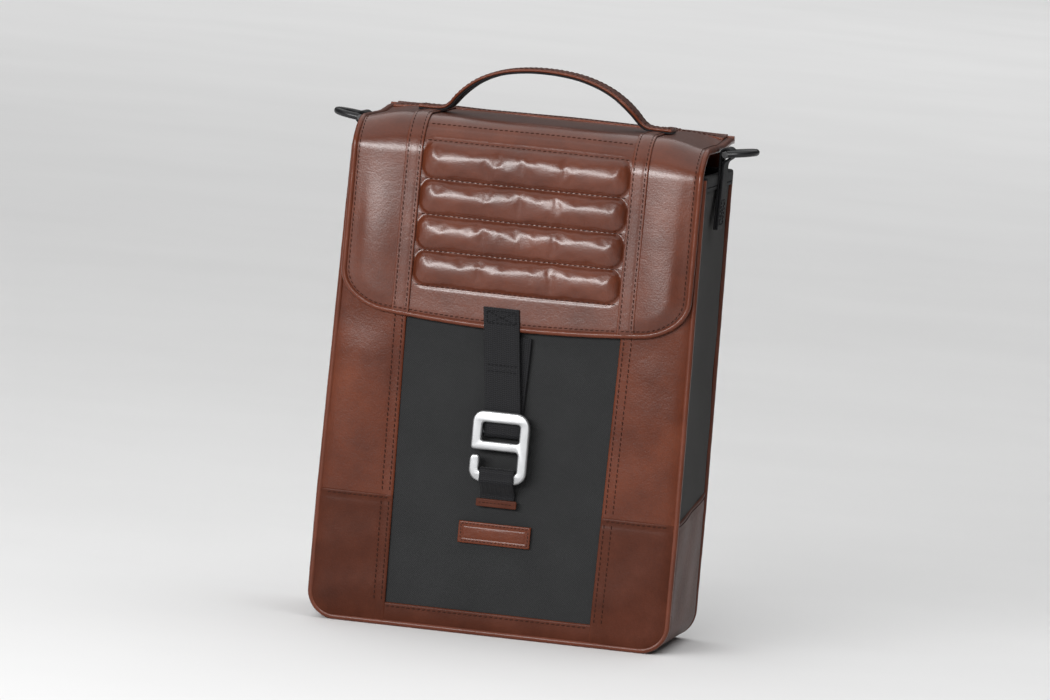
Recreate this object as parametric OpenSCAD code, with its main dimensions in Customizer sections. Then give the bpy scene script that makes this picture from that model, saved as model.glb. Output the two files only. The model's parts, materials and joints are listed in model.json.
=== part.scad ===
// Soft motorcycle side bag: an open-topped shell of canvas and leather on stiffening boards,
// closed by a padded leather flap that a hook buckle holds down. All sizes are in millimetres.
// X runs along the width, -Y is the outer face, +Y is the side that meets the motorcycle, +Z is up.

/* [Bag shell] */
// Width of the shell over the boot
base_w = 252; // [220:1:280]
// Width of the shell at the mouth
top_w = 246; // [210:1:250]
// Height of the shell up to the mouth
body_h = 325; // [300:1:326]
// Depth of the shell from outer face to back face
depth = 118; // [100:1:150]
// Height of the leather boot round the bottom
boot_h = 90; // [70:1:110]
// How much higher the boot's top edge stands at the back than at the front
boot_rise = 14; // [0:1:20]
// Radius of the two bottom corners
corner_r = 20; // [14:1:28]
// Half width of the canvas front panel at the bottom
canvas_half_base = 71; // [60:1:80]
// Half width of the canvas front panel at the mouth
canvas_half_top = 76; // [60:1:82]
// Height of the leather lip under the canvas front panel
lip_h = 16; // [10:1:24]

/* [Materials] */
// Thickness of the canvas and leather skins
skin = 2; // [1.5:0.1:3]
// Thickness of the stiffening boards
board = 2.4; // [1.6:0.1:3]
// Thickness of the lining
lining_t = 1; // [0.8:0.1:1.5]
// Thickness of the nylon webbing
webbing = 1.6; // [1.2:0.1:2]
// Radius of the leather piping along the front and rear edges
piping_r = 2.2; // [1.6:0.1:2.4]

/* [Flap] */
// Full width of the flap
flap_w = 242; // [210:1:244]
// Height of the flap's lower edge above the base
flap_low = 210; // [180:1:230]
// Height of the flap's inner face over the mouth
flap_under = 345.4; // [345:0.1:350]
// Radius of the flap's inner face at the front fold
fold_r = 22; // [14:1:22]
// Radius of the flap's lower corners
flap_corner = 32; // [20:1:40]
// Number of padded ribs across the flap
ribs = 4; // [3:1:5]
// Distance between two ribs
rib_pitch = 24.4; // [22:0.1:26]

/* [Handle] */
// Radius of the handle's outer curve
handle_r = 80; // [70:0.1:84]
// Height of the top of the handle
handle_top = 386; // [378:1:395]
// Width of the handle strap
handle_w = 24; // [20:1:26]

/* [Closure] */
// Width of the closure webbing
strap_w = 25; // [20:1:30]
// Height of the top of the hook buckle
hook_top = 155; // [145:1:160]
// Height of the hook buckle
hook_h = 49; // [46:1:52]
// Thickness of the hook plate
hook_t = 4.2; // [3:0.1:5]

/* [Back plate] */
// Distance between the mounting holes along the width
mount_x = 100; // [80:1:120]
// Distance between the mounting holes up the back
mount_z = 80; // [60:1:100]
// Radius of the mounting holes, for M6 bolts
mount_r = 3.3; // [3.2:0.1:3.5]

/* [Hidden] */
$fn = 48;
gap = 0.1;                                    // play between sewn layers that only touch
front = -depth / 2;                           // outer face of the front skin
back = depth / 2;                             // outer face of the back skin
inner_y = depth / 2 - skin - board - gap;     // where the lining meets the boards
edge_in = 2 * piping_r + 0.2;                 // how far the skins stop short of the piped edges
hook_low = hook_top - hook_h;
plate_t = 3;
plate_y = back + 0.2;                         // inner face of the back plate
plate_z = 250;                                // height of the middle of the back plate
plate_half_x = 75;
plate_half_z = 66;
rivet_x = 65;
rivet_z = 56;
rivet_r = 2.4;
eyelet_r = mount_r + 1;
binding_h = 2;                                // height of the binding above the mouth
lens_steps = 12;

// The flap's layers, as distances outward from its inner face
flap_gap = 1.2;
lining_out = 1.1;
leather_in = 1.2;
leather_out = 3.8;
binding_out = 4.4;
band_out = 5.1;
pad_out = 6;
rib_out = 8;
flap_y = -front + flap_gap;                   // inner face of the flap, ahead of the middle
welt_y = back + 1.5;                          // the flap turns about the welt
welt_r = 2.6;
welt_z = flap_under + 1.6;
edge_w = 3;                                   // width of the binding along the flap's edge
panel_half = 78;                              // half width of the flap's middle panel
rib_half = 71;
rib_first = 320;                              // height of the topmost rib

// The closure hangs in one line in front of the canvas
pin_r = 1.5;
pin_z = hook_top - 15;
pin_play = 0.25;
pin_y = front - 0.6 - webbing - pin_play - pin_r;
strap_y = pin_y - pin_r - pin_play - webbing / 2;
tail_y = pin_y + pin_r + pin_play + webbing / 2;
strap_axis_z = flap_low - 0.8;                // the strap turns about this line under the flap's edge
hook_axis_z = hook_top + 4;
hook_back = strap_y - webbing / 2 - 0.3;
hook_half = 20;
slot_half = strap_w / 2 + 0.3;
loop_play = 0.4;
loop_low = 90;
loop_out = hook_back - hook_t - loop_play - webbing;   // frontmost surface of the bag

// The carrying rings for a shoulder strap
ring_r = 2.2;
ring_leg_r = 2;
ring_half = 13;
ring_leg = 6;
ring_z = 341;                                 // height of the bar inside the webbing's fold
ring_x = top_w / 2 + 4.2;
ring_tilt = 8;
tab_play = 0.3;
tab_half = ring_half - ring_leg_r - 0.5;      // the webbing lies between the ring's two legs

// The handle's pivots stand just over the flap
handle_c = handle_top - handle_r;
handle_axis_z = 357;
tab_top = flap_under + band_out + 2.6;
handle_axis_x = sqrt(pow(handle_r, 2) - pow(handle_axis_z - handle_c, 2));

// The origin is under the middle of the whole bag, so everything moves by this much along Y
shift = (-loop_out - (plate_y + plate_t)) / 2;

function arc(cx, cy, r, a0, a1, n = 10) =
    [for (i = [0:n]) let (a = a0 + (a1 - a0) * i / n) [cx + r * cos(a), cy + r * sin(a)]];

function reversed(list) = [for (i = [len(list) - 1:-1:0]) list[i]];

// Half width of the shell at height z, less an inset d
function side_x(z, d = 0) = base_w / 2 - d
    - (z <= boot_h ? 0 : (base_w - top_w) / 2 * (z - boot_h) / (body_h - boot_h));

// Half width of the canvas front panel at height z
function canvas_x(z) = canvas_half_base + (canvas_half_top - canvas_half_base) * z / body_h;

// The right half of the shell's outline, inset by d, from the middle of the base up to a height
function half_outline(d, top) = concat(
    arc(base_w / 2 - corner_r, corner_r, corner_r - d, -90, 0),
    [[side_x(boot_h, d), boot_h], [side_x(top, d), top]]);

function mirrored(points) = [for (p = reversed(points)) [-p[0], p[1]]];

function outline(d, top) = concat(half_outline(d, top), mirrored(half_outline(d, top)));

// The line of the flap at a distance out from its inner face, from the welt to the lower edge
function flap_line(out, low = flap_low - 4) = concat(
    [[welt_y - welt_r - gap, flap_under + out]],
    arc(-flap_y + fold_r, flap_under - fold_r, fold_r + out, 90, 180, 12),
    [[-flap_y - out, low]]);

function flap_layer(from, to) = concat(flap_line(to), reversed(flap_line(from)));

// A rib's section: an arc over a chord on the flap's front
function rib_section(z, half, from, to) = let (h = to - from, r = (half * half + h * h) / (2 * h),
        a = asin(half / r))
    [for (i = [0:lens_steps]) let (t = -a + 2 * a * i / lens_steps)
        [-flap_y - from - h + r - r * cos(t), z + r * sin(t)]];

// The flap seen from the front, inset by d
function flap_outline(d) = concat(
    [[flap_w / 2 - d, flap_under + rib_out], [-flap_w / 2 + d, flap_under + rib_out]],
    arc(-flap_w / 2 + flap_corner, flap_low + flap_corner, flap_corner - d, 180, 270),
    arc(flap_w / 2 - flap_corner, flap_low + flap_corner, flap_corner - d, 270, 360));

function rounded(x0, z0, x1, z1, r, n = 6) = concat(
    arc(x1 - r, z1 - r, r, 0, 90, n), arc(x0 + r, z1 - r, r, 90, 180, n),
    arc(x0 + r, z0 + r, r, 180, 270, n), arc(x1 - r, z0 + r, r, 270, 360, n));

// Extrudes a drawing of X and Z from y0 to y1
module from_front(y0, y1) {
    translate([0, y1, 0]) rotate([90, 0, 0]) linear_extrude(y1 - y0) children();
}

// Extrudes a drawing of Y and Z from x0 to x1
module from_side(x0, x1) {
    translate([x0, 0, 0]) rotate([90, 0, 90]) linear_extrude(x1 - x0) children();
}

// A rod along X between two places
module rod_x(x0, x1, y, z, r) {
    translate([x0, y, z]) rotate([0, 90, 0]) cylinder(h = x1 - x0, r = r);
}

// A rod along Y between two places
module rod_y(y0, y1, x, z, r) {
    translate([x, y0, z]) rotate([-90, 0, 0]) cylinder(h = y1 - y0, r = r);
}

// A round tube swept along a path that lies in one plane facing Y
module tube_in_plane(path, y, r, sides = 10) {
    n = len(path);
    tangents = [for (i = [0:n - 1]) let (d = path[min(i + 1, n - 1)] - path[max(i - 1, 0)]) d / norm(d)];
    points = [for (i = [0:n - 1]) for (k = [0:sides - 1]) let (a = 360 * k / sides, t = tangents[i])
        [path[i][0] + r * cos(a) * t[1], y + r * sin(a), path[i][1] - r * cos(a) * t[0]]];
    walls = [for (i = [0:n - 2]) for (k = [0:sides - 1]) let (a = i * sides + k,
        b = i * sides + (k + 1) % sides) [a, b, b + sides, a + sides]];
    ends = [[for (k = [sides - 1:-1:0]) k], [for (k = [0:sides - 1]) (n - 1) * sides + k]];
    polyhedron(points = points, faces = concat(walls, ends), convexity = 6);
}

module place() { translate([0, shift, 0]) children(); }

// One side of the shell's outline, as a band as thick as the skin, outward from x_min
module side_band(s, x_min = 1) {
    from_front(front + edge_in, back - edge_in) intersection() {
        difference() {
            polygon(outline(0, body_h));
            polygon(outline(skin, body_h + 1));
        }
        translate([s > 0 ? x_min : -base_w, 0]) square([base_w - x_min, body_h]);
    }
}

// Everything above or below the boot's sloping top edge, seen from the side
module above_seam() {
    from_side(-base_w, base_w) polygon([
        [front, boot_h], [back, boot_h + boot_rise], [back, body_h + 1], [front, body_h + 1]]);
}

module below_seam() {
    from_side(-base_w, base_w) polygon([
        [front, boot_h], [back, boot_h + boot_rise], [back, -1], [front, -1]]);
}

module front_skin(points) {
    from_front(front, front + skin) intersection() {
        polygon(outline(edge_in, body_h));
        polygon(points);
    }
}

module front_canvas() {
    color("#3c3d3f") front_skin([
        [-canvas_x(lip_h), lip_h], [canvas_x(lip_h), lip_h],
        [canvas_x(body_h), body_h], [-canvas_x(body_h), body_h]]);
}

module front_strip(s) {
    color("#6b3a2a") front_skin([
        [s * canvas_x(boot_h), boot_h], [s * base_w, boot_h],
        [s * base_w, body_h], [s * canvas_x(body_h), body_h]]);
}

module front_boot(s) {
    color("#60382a") front_skin([
        [s * canvas_x(0), 0], [s * base_w, 0], [s * base_w, boot_h], [s * canvas_x(boot_h), boot_h]]);
}

module front_lip() {
    color("#60382a") front_skin([
        [-canvas_x(0), 0], [canvas_x(0), 0], [canvas_x(lip_h), lip_h], [-canvas_x(lip_h), lip_h]]);
}

module gusset(s) {
    color("#39393a") intersection() {
        side_band(s);
        above_seam();
    }
}

module side_boot(s) {
    color("#5c3426") intersection() {
        side_band(s, base_w / 2 - corner_r - 4);
        below_seam();
    }
}

module base_panel() {
    half = base_w / 2 - corner_r - 4;
    color("#53301f") translate([-half, front + edge_in, 0]) cube([2 * half, depth - 2 * edge_in, skin]);
}

// Every hole that the back's layers need, as rods through them
module back_holes(r_mount, r_rivet) {
    for (sx = [-1, 1]) for (sz = [-1, 1]) {
        rod_y(back - 20, back + 20, sx * mount_x / 2, plate_z + sz * mount_z / 2, r_mount);
        rod_y(back - 20, back + 20, sx * rivet_x, plate_z + sz * rivet_z, r_rivet);
    }
}

module back_panel() {
    color("#333334") difference() {
        from_front(back - skin, back) intersection() {
            polygon(outline(edge_in, body_h));
            translate([-base_w, boot_h + boot_rise]) square([2 * base_w, body_h]);
        }
        back_holes(eyelet_r + 0.05, rivet_r);
    }
}

module rear_boot() {
    color("#5c3426") from_front(back - skin, back) intersection() {
        polygon(outline(edge_in, body_h));
        translate([-base_w, 0]) square([2 * base_w, boot_h + boot_rise]);
    }
}

module front_board() {
    color("#1d1d1f") from_front(front + skin, front + skin + board) polygon(outline(edge_in, body_h - 2));
}

module back_board() {
    color("#1d1d1f") difference() {
        from_front(back - skin - board, back - skin) polygon(outline(edge_in, body_h - 2));
        back_holes(eyelet_r + 0.05, rivet_r);
    }
}

module base_board() {
    half = base_w / 2 - corner_r - 6;
    color("#1d1d1f") translate([-half, -inner_y, skin]) cube([2 * half, 2 * inner_y, board]);
}

// The lining's outline: a cup whose sides follow the skins and whose floor clears the base board
function lining_outline(d, top) = let (r = corner_r - skin - gap - d,
        cx = base_w / 2 - corner_r, low = skin + board + gap + d)
    let (half = concat(arc(cx, low + r, r, -90, 0),
        [[side_x(boot_h, skin + gap + d), boot_h], [side_x(top, skin + gap + d), top]]))
    concat(half, mirrored(half));

module lining() {
    color("#4a4a4c") difference() {
        from_front(-inner_y, inner_y) polygon(lining_outline(0, body_h - 1));
        from_front(-inner_y + lining_t, inner_y - lining_t) polygon(lining_outline(lining_t, body_h + 1));
        back_holes(eyelet_r + 0.05, rivet_r);
    }
}

module mouth_binding() {
    outer = side_x(body_h, 0);
    color("#1b1b1c") translate([0, 0, body_h]) linear_extrude(binding_h) difference() {
        square([2 * outer, depth], center = true);
        square([2 * outer - 2 * (skin + lining_t + gap), depth - 2 * (skin + board + lining_t + gap)],
            center = true);
    }
}

module edge_piping(y) {
    right = concat(
        [for (i = [0:3]) [base_w / 2 - corner_r - 20 * (3 - i), piping_r]],
        arc(base_w / 2 - corner_r, corner_r, corner_r - piping_r, -80, 0, 8),
        [[side_x(boot_h, piping_r), boot_h], [side_x(body_h, piping_r), body_h - 0.2]]);
    color("#5a2c1c") tube_in_plane(concat(mirrored(right), right), y, piping_r);
}

module front_piping() { edge_piping(front + piping_r); }

module rear_piping() { edge_piping(back - piping_r); }

module label_patch() {
    color("#6e3b2a") from_front(front - 1.4, front) polygon(rounded(-25, 62.5, 25, 77.5, 1.5));
}

// Webbing sewn to the canvas that passes up through the hook's lower slot and round its bottom bar
module hook_loop() {
    bar_front = hook_back - hook_t - loop_play;
    bar_back = hook_back + loop_play;
    top = hook_low + 7.5 + loop_play;
    knee = hook_low - loop_play;
    sewn = front - 0.2;
    color("#161617") from_side(-slot_half + 0.8, slot_half - 0.8) difference() {
        polygon(concat(
            [[sewn, loop_low], [sewn, knee - 6], [bar_back + webbing, knee]],
            arc(bar_back, top, webbing, 0, 90, 6),
            arc(bar_front, top, webbing, 90, 180, 6),
            [[bar_front - webbing, knee], [sewn - 2 * webbing, knee - 9], [sewn - 2 * webbing, loop_low]]));
        polygon([
            [bar_back, knee], [bar_back, top], [bar_front, top], [bar_front, knee],
            [sewn - webbing - 1, knee - 5], [sewn - webbing, knee - 6]]);
    }
}

module loop_anchor() {
    color("#5a2c1c") from_front(front - 0.2 - 2 * webbing - 1.4, front - 0.2 - 2 * webbing)
        polygon(rounded(-14, loop_low - 1, 14, loop_low + 4.4, 1));
}

// Webbing folded round a ring's bar and sewn down the gusset
module ring_tab(s) {
    inner = ring_r + tab_play;
    face = side_x(body_h - 36);
    color("#161617") difference() {
        union() {
            rod_y(-tab_half, tab_half, s * ring_x, ring_z, inner + webbing);
            from_front(-tab_half, tab_half) polygon([
                [s * (face + gap), body_h - 36], [s * (face + gap + webbing), body_h - 36],
                [s * (ring_x - 0.4), ring_z - inner - webbing / 2],
                [s * (side_x(body_h) + 0.3), ring_z - 2]]);
        }
        rod_y(-strap_w, strap_w, s * ring_x, ring_z, inner);
    }
}

// A D-shaped ring lying out from its straight bar
module ring(s) {
    reach = ring_leg + ring_half;
    color("#141415") translate([s * ring_x, 0, ring_z])
        rotate([0, -s * ring_tilt, 0]) mirror([s < 0 ? 1 : 0, 0, 0]) {
        rod_y(-ring_half - ring_r, ring_half + ring_r, 0, 0, ring_r);
        for (t = [-1, 1]) rod_x(0, ring_leg, t * ring_half, 0, ring_leg_r);
        translate([ring_leg, 0, 0]) rotate([0, 0, -90])
            rotate_extrude(angle = 180) translate([ring_half, 0]) circle(r = ring_leg_r);
    }
}

module back_plate() {
    color("#202022") difference() {
        from_front(plate_y, plate_y + plate_t)
            polygon(rounded(-plate_half_x, plate_z - plate_half_z, plate_half_x, plate_z + plate_half_z, 12));
        back_holes(eyelet_r + 0.05, rivet_r);
        for (sx = [-1, 1]) for (sz = [-1, 1])
            translate([sx * rivet_x, plate_y + plate_t + 0.01, plate_z + sz * rivet_z]) rotate([90, 0, 0])
                cylinder(h = 2.2, r1 = 4.8, r2 = rivet_r);
    }
}

module plate_rivets() {
    color("#8d8f92") for (sx = [-1, 1]) for (sz = [-1, 1])
        translate([sx * rivet_x, plate_y + plate_t, plate_z + sz * rivet_z]) rotate([90, 0, 0]) {
            cylinder(h = 2, r1 = 4.4, r2 = rivet_r);
            cylinder(h = plate_t + 0.2 + depth / 2 - inner_y + lining_t + 2.6, r = rivet_r - 0.05);
        }
}

module rivet_washers() {
    color("#8d8f92") for (sx = [-1, 1]) for (sz = [-1, 1]) difference() {
        rod_y(inner_y - lining_t - 1.2, inner_y - lining_t, sx * rivet_x, plate_z + sz * rivet_z, 6);
        rod_y(inner_y - 9, inner_y, sx * rivet_x, plate_z + sz * rivet_z, rivet_r);
    }
}

module mount_eyelets() {
    inside = inner_y - lining_t;
    color("#8d8f92") for (sx = [-1, 1]) for (sz = [-1, 1])
        translate([sx * mount_x / 2, 0, plate_z + sz * mount_z / 2]) difference() {
            union() {
                rod_y(inside - 1, plate_y + plate_t, 0, 0, eyelet_r);
                rod_y(inside - 1, inside, 0, 0, 7);
            }
            rod_y(inside - 20, plate_y + 20, 0, 0, mount_r);
        }
}

module hinge_strip() {
    color("#6b3a2a") translate([-flap_w / 2 + edge_w, back + gap, plate_z + plate_half_z + 3])
        cube([flap_w - 2 * edge_w, skin, welt_z - welt_r - gap - (plate_z + plate_half_z + 3)]);
}

module flap_welt() {
    color("#5a2c1c") rod_x(-flap_w / 2, flap_w / 2, welt_y, welt_z, welt_r);
}

module flap_lining() {
    color("#2a2a2b") intersection() {
        from_side(-flap_w / 2 + edge_w, flap_w / 2 - edge_w) polygon(flap_layer(0, lining_out));
        from_front(front - 20, back + 10) polygon(flap_outline(edge_w));
    }
}

module flap_center() {
    color("#6e3828") difference() {
        union() {
            intersection() {
                from_side(-panel_half, panel_half) polygon(flap_layer(leather_in, leather_out));
                from_front(front - 20, back + 10) polygon(flap_outline(edge_w));
            }
            for (i = [0:ribs - 1]) from_side(-rib_half, rib_half)
                polygon(rib_section(rib_first - i * rib_pitch, rib_pitch / 2 - 0.1, leather_in, rib_out));
        }
        for (i = [0:ribs - 1]) from_side(-rib_half + 2, rib_half - 2)
            polygon(rib_section(rib_first - i * rib_pitch, rib_pitch / 2 - 2, leather_in - 0.01, pad_out));
    }
}

module rib_pads() {
    color("#c9c3b4") for (i = [0:ribs - 1]) from_side(-rib_half + 2.2, rib_half - 2.2)
        polygon(rib_section(rib_first - i * rib_pitch, rib_pitch / 2 - 2.4,
            leather_in + 0.05, pad_out - 0.2));
}

module flap_side(s) {
    color("#6e3828") intersection() {
        from_side(s > 0 ? panel_half : -flap_w / 2 + edge_w, s > 0 ? flap_w / 2 - edge_w : -panel_half)
            polygon(flap_layer(leather_in, leather_out));
        from_front(front - 20, back + 10) polygon(flap_outline(edge_w));
    }
}

module band(s) {
    color("#6e3828") intersection() {
        from_side(s > 0 ? panel_half - 6 : -panel_half - 6, s > 0 ? panel_half + 6 : -panel_half + 6)
            polygon(flap_layer(leather_out + gap, band_out));
        from_front(front - 20, back + 10) polygon(flap_outline(edge_w));
    }
}

module flap_binding() {
    color("#5a2c1c") intersection() {
        from_side(-flap_w / 2, flap_w / 2) polygon(flap_layer(0, binding_out));
        from_front(front - 20, back + 10) difference() {
            polygon(flap_outline(0));
            polygon(concat([[flap_w / 2 - edge_w, 400], [-flap_w / 2 + edge_w, 400]],
                [for (i = [2:len(flap_outline(edge_w)) - 1]) flap_outline(edge_w)[i]]));
        }
    }
}

module handle_tabs() {
    low = flap_under + band_out + gap;
    color("#6e3828") for (s = [-1, 1]) translate([s * 68 - 20, -handle_w / 2, low])
        cube([40, handle_w, tab_top - low]);
}

// One layer of the handle's arch, narrowing to a neck over each pivot
module handle_layer(outer, inner) {
    intersection() {
        from_front(-handle_w / 2, handle_w / 2) difference() {
            translate([0, handle_c]) circle(r = outer, $fn = 120);
            translate([0, handle_c]) circle(r = inner, $fn = 120);
            translate([-100, handle_c - 100]) square([200, handle_axis_z - handle_c + 100]);
        }
        from_side(-100, 100) polygon([
            [-2.5, handle_axis_z - 1], [2.5, handle_axis_z - 1],
            [handle_w / 2, handle_axis_z + 11.5], [handle_w / 2, 400], [-handle_w / 2, 400],
            [-handle_w / 2, handle_axis_z + 11.5]]);
    }
}

// The two rods in the handle's core that it swings about, widened by some play
module handle_rods(play) {
    for (s = [-1, 1]) {
        middle = s * (handle_axis_x - 5.5);
        rod_x(middle - 4.5, middle + 4.5, 0, handle_axis_z, 2.4 + play);
    }
}

module handle_leather() {
    color("#6e3828") difference() {
        handle_layer(handle_r, handle_r - 1.8);
        handle_rods(0.05);
    }
}

module handle_core() {
    color("#2a2a2b") union() {
        handle_layer(handle_r - 1.85, handle_r - 3.05);
        handle_rods(0);
    }
}

module handle_webbing() {
    color("#161617") difference() {
        handle_layer(handle_r - 3.1, handle_r - 4.6);
        handle_rods(0.05);
    }
}

module strap_end() {
    color("#161617") translate([-strap_w / 2, strap_y - webbing / 2, flap_low + 2.5])
        cube([strap_w, webbing, 12.5]);
}

module closure_strap() {
    low = hook_axis_z + 1.2;
    color("#161617") {
        union() {
            rod_x(-strap_w / 2, strap_w / 2, strap_y, strap_axis_z, webbing / 2);
            translate([-strap_w / 2, strap_y - webbing / 2, low])
                cube([strap_w, webbing, strap_axis_z - low]);
        }
        translate([-strap_w / 2, tail_y - webbing / 2, low]) cube([strap_w, webbing, strap_axis_z - 2 - low]);
    }
}

// The strap's lower end, folded round the hook's pin, that swings with the hook
module hook_webbing() {
    inner = pin_r + pin_play;
    color("#161617") union() {
        from_side(-strap_w / 2, strap_w / 2) polygon(concat(
            [[strap_y - webbing / 2, hook_axis_z]],
            arc(pin_y, pin_z, inner + webbing, 180, 360, 16),
            [[tail_y + webbing / 2, hook_axis_z - 1], [tail_y - webbing / 2, hook_axis_z - 1]],
            arc(pin_y, pin_z, inner, 360, 180, 16),
            [[strap_y + webbing / 2, hook_axis_z]]));
        rod_x(-strap_w / 2, strap_w / 2, strap_y, hook_axis_z, webbing / 2);
    }
}

// A flat hook: a frame for the strap above, an open slot for the loop below
module hook_frame() {
    slot_top = hook_top - 8;
    mid_top = slot_top - 12.5;
    mid_low = mid_top - 6.5;
    bar_top = hook_low + 7.5;
    color("#d9dbdd") union() {
        from_front(hook_back - hook_t, hook_back) difference() {
            polygon(rounded(-hook_half, hook_low, hook_half, hook_top, 8));
            polygon(rounded(-slot_half, mid_top, slot_half, slot_top, 1.5));
            polygon(rounded(-slot_half, bar_top, slot_half, mid_low, 2));
            translate([-hook_half - 1, mid_low - 3]) square([hook_half, 3]);
        }
        for (s = [-1, 1]) difference() {
            union() {
                rod_x(s > 0 ? slot_half + 0.4 : -slot_half - 3.4, s > 0 ? slot_half + 3.4 : -slot_half - 0.4,
                    pin_y, pin_z, 2.6);
                translate([s > 0 ? slot_half + 0.4 : -slot_half - 3.4, hook_back - 0.5, pin_z - 2.6])
                    cube([3, pin_y - hook_back + 0.5, 5.2]);
            }
            rod_x(-hook_half, hook_half, pin_y, pin_z, pin_r + 0.02);
        }
    }
}

module hook_pin() {
    color("#b9bbbe") rod_x(-slot_half - 3.3, slot_half + 3.3, pin_y, pin_z, pin_r);
}

place() front_canvas();
place() front_strip(-1);  // left_front_strip
place() front_strip(1);  // right_front_strip
place() front_boot(-1);  // left_front_boot
place() front_boot(1);  // right_front_boot
place() front_lip();
place() gusset(-1);  // left_gusset
place() gusset(1);  // right_gusset
place() side_boot(-1);  // left_boot
place() side_boot(1);  // right_boot
place() base_panel();
place() back_panel();
place() rear_boot();
place() front_board();
place() back_board();
place() base_board();
place() lining();
place() mouth_binding();
place() front_piping();
place() rear_piping();
place() label_patch();
place() hook_loop();
place() loop_anchor();
place() ring_tab(-1);  // left_ring_tab
place() ring_tab(1);  // right_ring_tab
place() ring(-1);  // left_ring
place() ring(1);  // right_ring
place() back_plate();
place() plate_rivets();
place() rivet_washers();
place() mount_eyelets();
place() hinge_strip();
place() flap_welt();
place() flap_lining();
place() flap_center();
place() flap_side(-1);  // flap_left
place() flap_side(1);  // flap_right
place() rib_pads();
place() band(-1);  // left_band
place() band(1);  // right_band
place() flap_binding();
place() handle_tabs();
place() handle_leather();
place() handle_core();
place() handle_webbing();
place() strap_end();
place() closure_strap();
place() hook_webbing();
place() hook_frame();
place() hook_pin();
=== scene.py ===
"""A soft motorcycle side bag in brown leather and black canvas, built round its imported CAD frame."""
import json
import math

import bmesh
import bpy
import numpy as np
from mathutils import Matrix, Vector
from mathutils.bvhtree import BVHTree


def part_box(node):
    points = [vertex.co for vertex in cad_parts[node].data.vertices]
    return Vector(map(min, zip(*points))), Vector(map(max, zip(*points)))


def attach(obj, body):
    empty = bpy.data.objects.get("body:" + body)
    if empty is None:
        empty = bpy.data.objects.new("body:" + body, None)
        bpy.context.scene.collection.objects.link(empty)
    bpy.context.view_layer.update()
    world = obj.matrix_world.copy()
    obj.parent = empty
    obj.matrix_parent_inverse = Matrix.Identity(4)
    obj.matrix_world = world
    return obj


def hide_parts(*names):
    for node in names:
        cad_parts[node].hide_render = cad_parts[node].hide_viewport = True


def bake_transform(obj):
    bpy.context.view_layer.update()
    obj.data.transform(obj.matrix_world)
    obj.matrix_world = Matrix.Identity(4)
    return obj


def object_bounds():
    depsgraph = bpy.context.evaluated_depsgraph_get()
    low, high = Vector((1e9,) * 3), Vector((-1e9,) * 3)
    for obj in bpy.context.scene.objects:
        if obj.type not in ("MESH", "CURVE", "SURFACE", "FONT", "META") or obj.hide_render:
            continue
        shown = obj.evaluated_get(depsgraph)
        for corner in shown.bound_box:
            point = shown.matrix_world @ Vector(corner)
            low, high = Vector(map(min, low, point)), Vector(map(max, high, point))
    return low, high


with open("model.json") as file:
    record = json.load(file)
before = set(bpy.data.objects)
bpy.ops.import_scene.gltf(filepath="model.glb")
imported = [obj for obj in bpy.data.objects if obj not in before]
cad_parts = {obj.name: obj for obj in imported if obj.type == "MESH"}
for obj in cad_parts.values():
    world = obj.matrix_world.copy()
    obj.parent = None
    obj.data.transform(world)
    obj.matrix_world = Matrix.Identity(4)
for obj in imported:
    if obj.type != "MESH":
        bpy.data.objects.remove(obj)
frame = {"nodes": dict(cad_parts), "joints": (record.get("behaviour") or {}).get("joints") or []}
cad_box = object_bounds()

MM = 0.001
TAU = 2 * math.pi

# ---------------------------------------------------------------- sizes from the frame, in metres
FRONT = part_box("front_canvas")[0].y            # outer face of the front skin
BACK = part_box("back_panel")[1].y               # outer face of the back skin
BASE_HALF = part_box("front_piping")[1].x
TOP_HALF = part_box("mouth_binding")[1].x
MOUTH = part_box("mouth_binding")[0].z
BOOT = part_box("left_front_boot")[1].z
REAR_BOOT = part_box("rear_boot")[1].z
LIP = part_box("front_lip")[1].z
CANVAS_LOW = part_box("front_lip")[1].x
CANVAS_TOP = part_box("front_canvas")[1].x
CORNER = 20 * MM
PIPE = (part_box("front_piping")[1].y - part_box("front_piping")[0].y) / 2
FLAP_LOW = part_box("flap_binding")[0].z
FLAP_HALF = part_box("flap_binding")[1].x
FLAP_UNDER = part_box("flap_lining")[1].z - 1.1 * MM    # inner face over the mouth
FLAP_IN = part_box("flap_lining")[0].y + 1.1 * MM       # inner face in front
FLAP_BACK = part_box("flap_lining")[1].y
FOLD_R = 22 * MM
FLAP_CORNER = 32 * MM
LEATHER_OUT = 3.8 * MM                         # the flap leather's outer face, out from the inner face
PANEL_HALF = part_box("flap_center")[1].x
RIB_HALF = 71 * MM
RIB_PITCH = 24.4 * MM
RIB_TOP = 332.2 * MM                           # the seam over the first rib
CROSS_SEAM = 341 * MM                          # the seam across the flap above the ribs
STRAP_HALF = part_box("closure_strap")[1].x
WEBBING = 1.6 * MM
STRAP_THICK = WEBBING - 0.1 * MM               # each strap is made a little thinner than in the CAD
SIDES = (("left", -1), ("right", 1))

# ---------------------------------------------------------------- small maths


def ease(t):
    t = np.clip(t, 0, 1)
    return t * t * (3 - 2 * t)


def groove(distance, width):
    """1 on a line and falling off over width on both sides of it."""
    return np.exp(-((distance / width) ** 2))


def rolled(distance, r):
    """How far a folded edge of radius r drops at a distance in from the edge."""
    d = np.clip(distance, 0, r)
    return r - np.sqrt(np.maximum(r * r - (r - d) ** 2, 0))


def ripples(a, b, size, seed, waves=7):
    """Soft seeded undulation between about -1 and 1, with features of about size."""
    rng = np.random.default_rng(seed)
    total = 0
    for _ in range(waves):
        turn, phase = rng.uniform(0, TAU, 2)
        k = TAU / (size * rng.uniform(0.7, 1.6))
        total = total + np.sin(k * (a * math.cos(turn) + b * math.sin(turn)) + phase)
    return total / math.sqrt(waves) / 1.4


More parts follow.
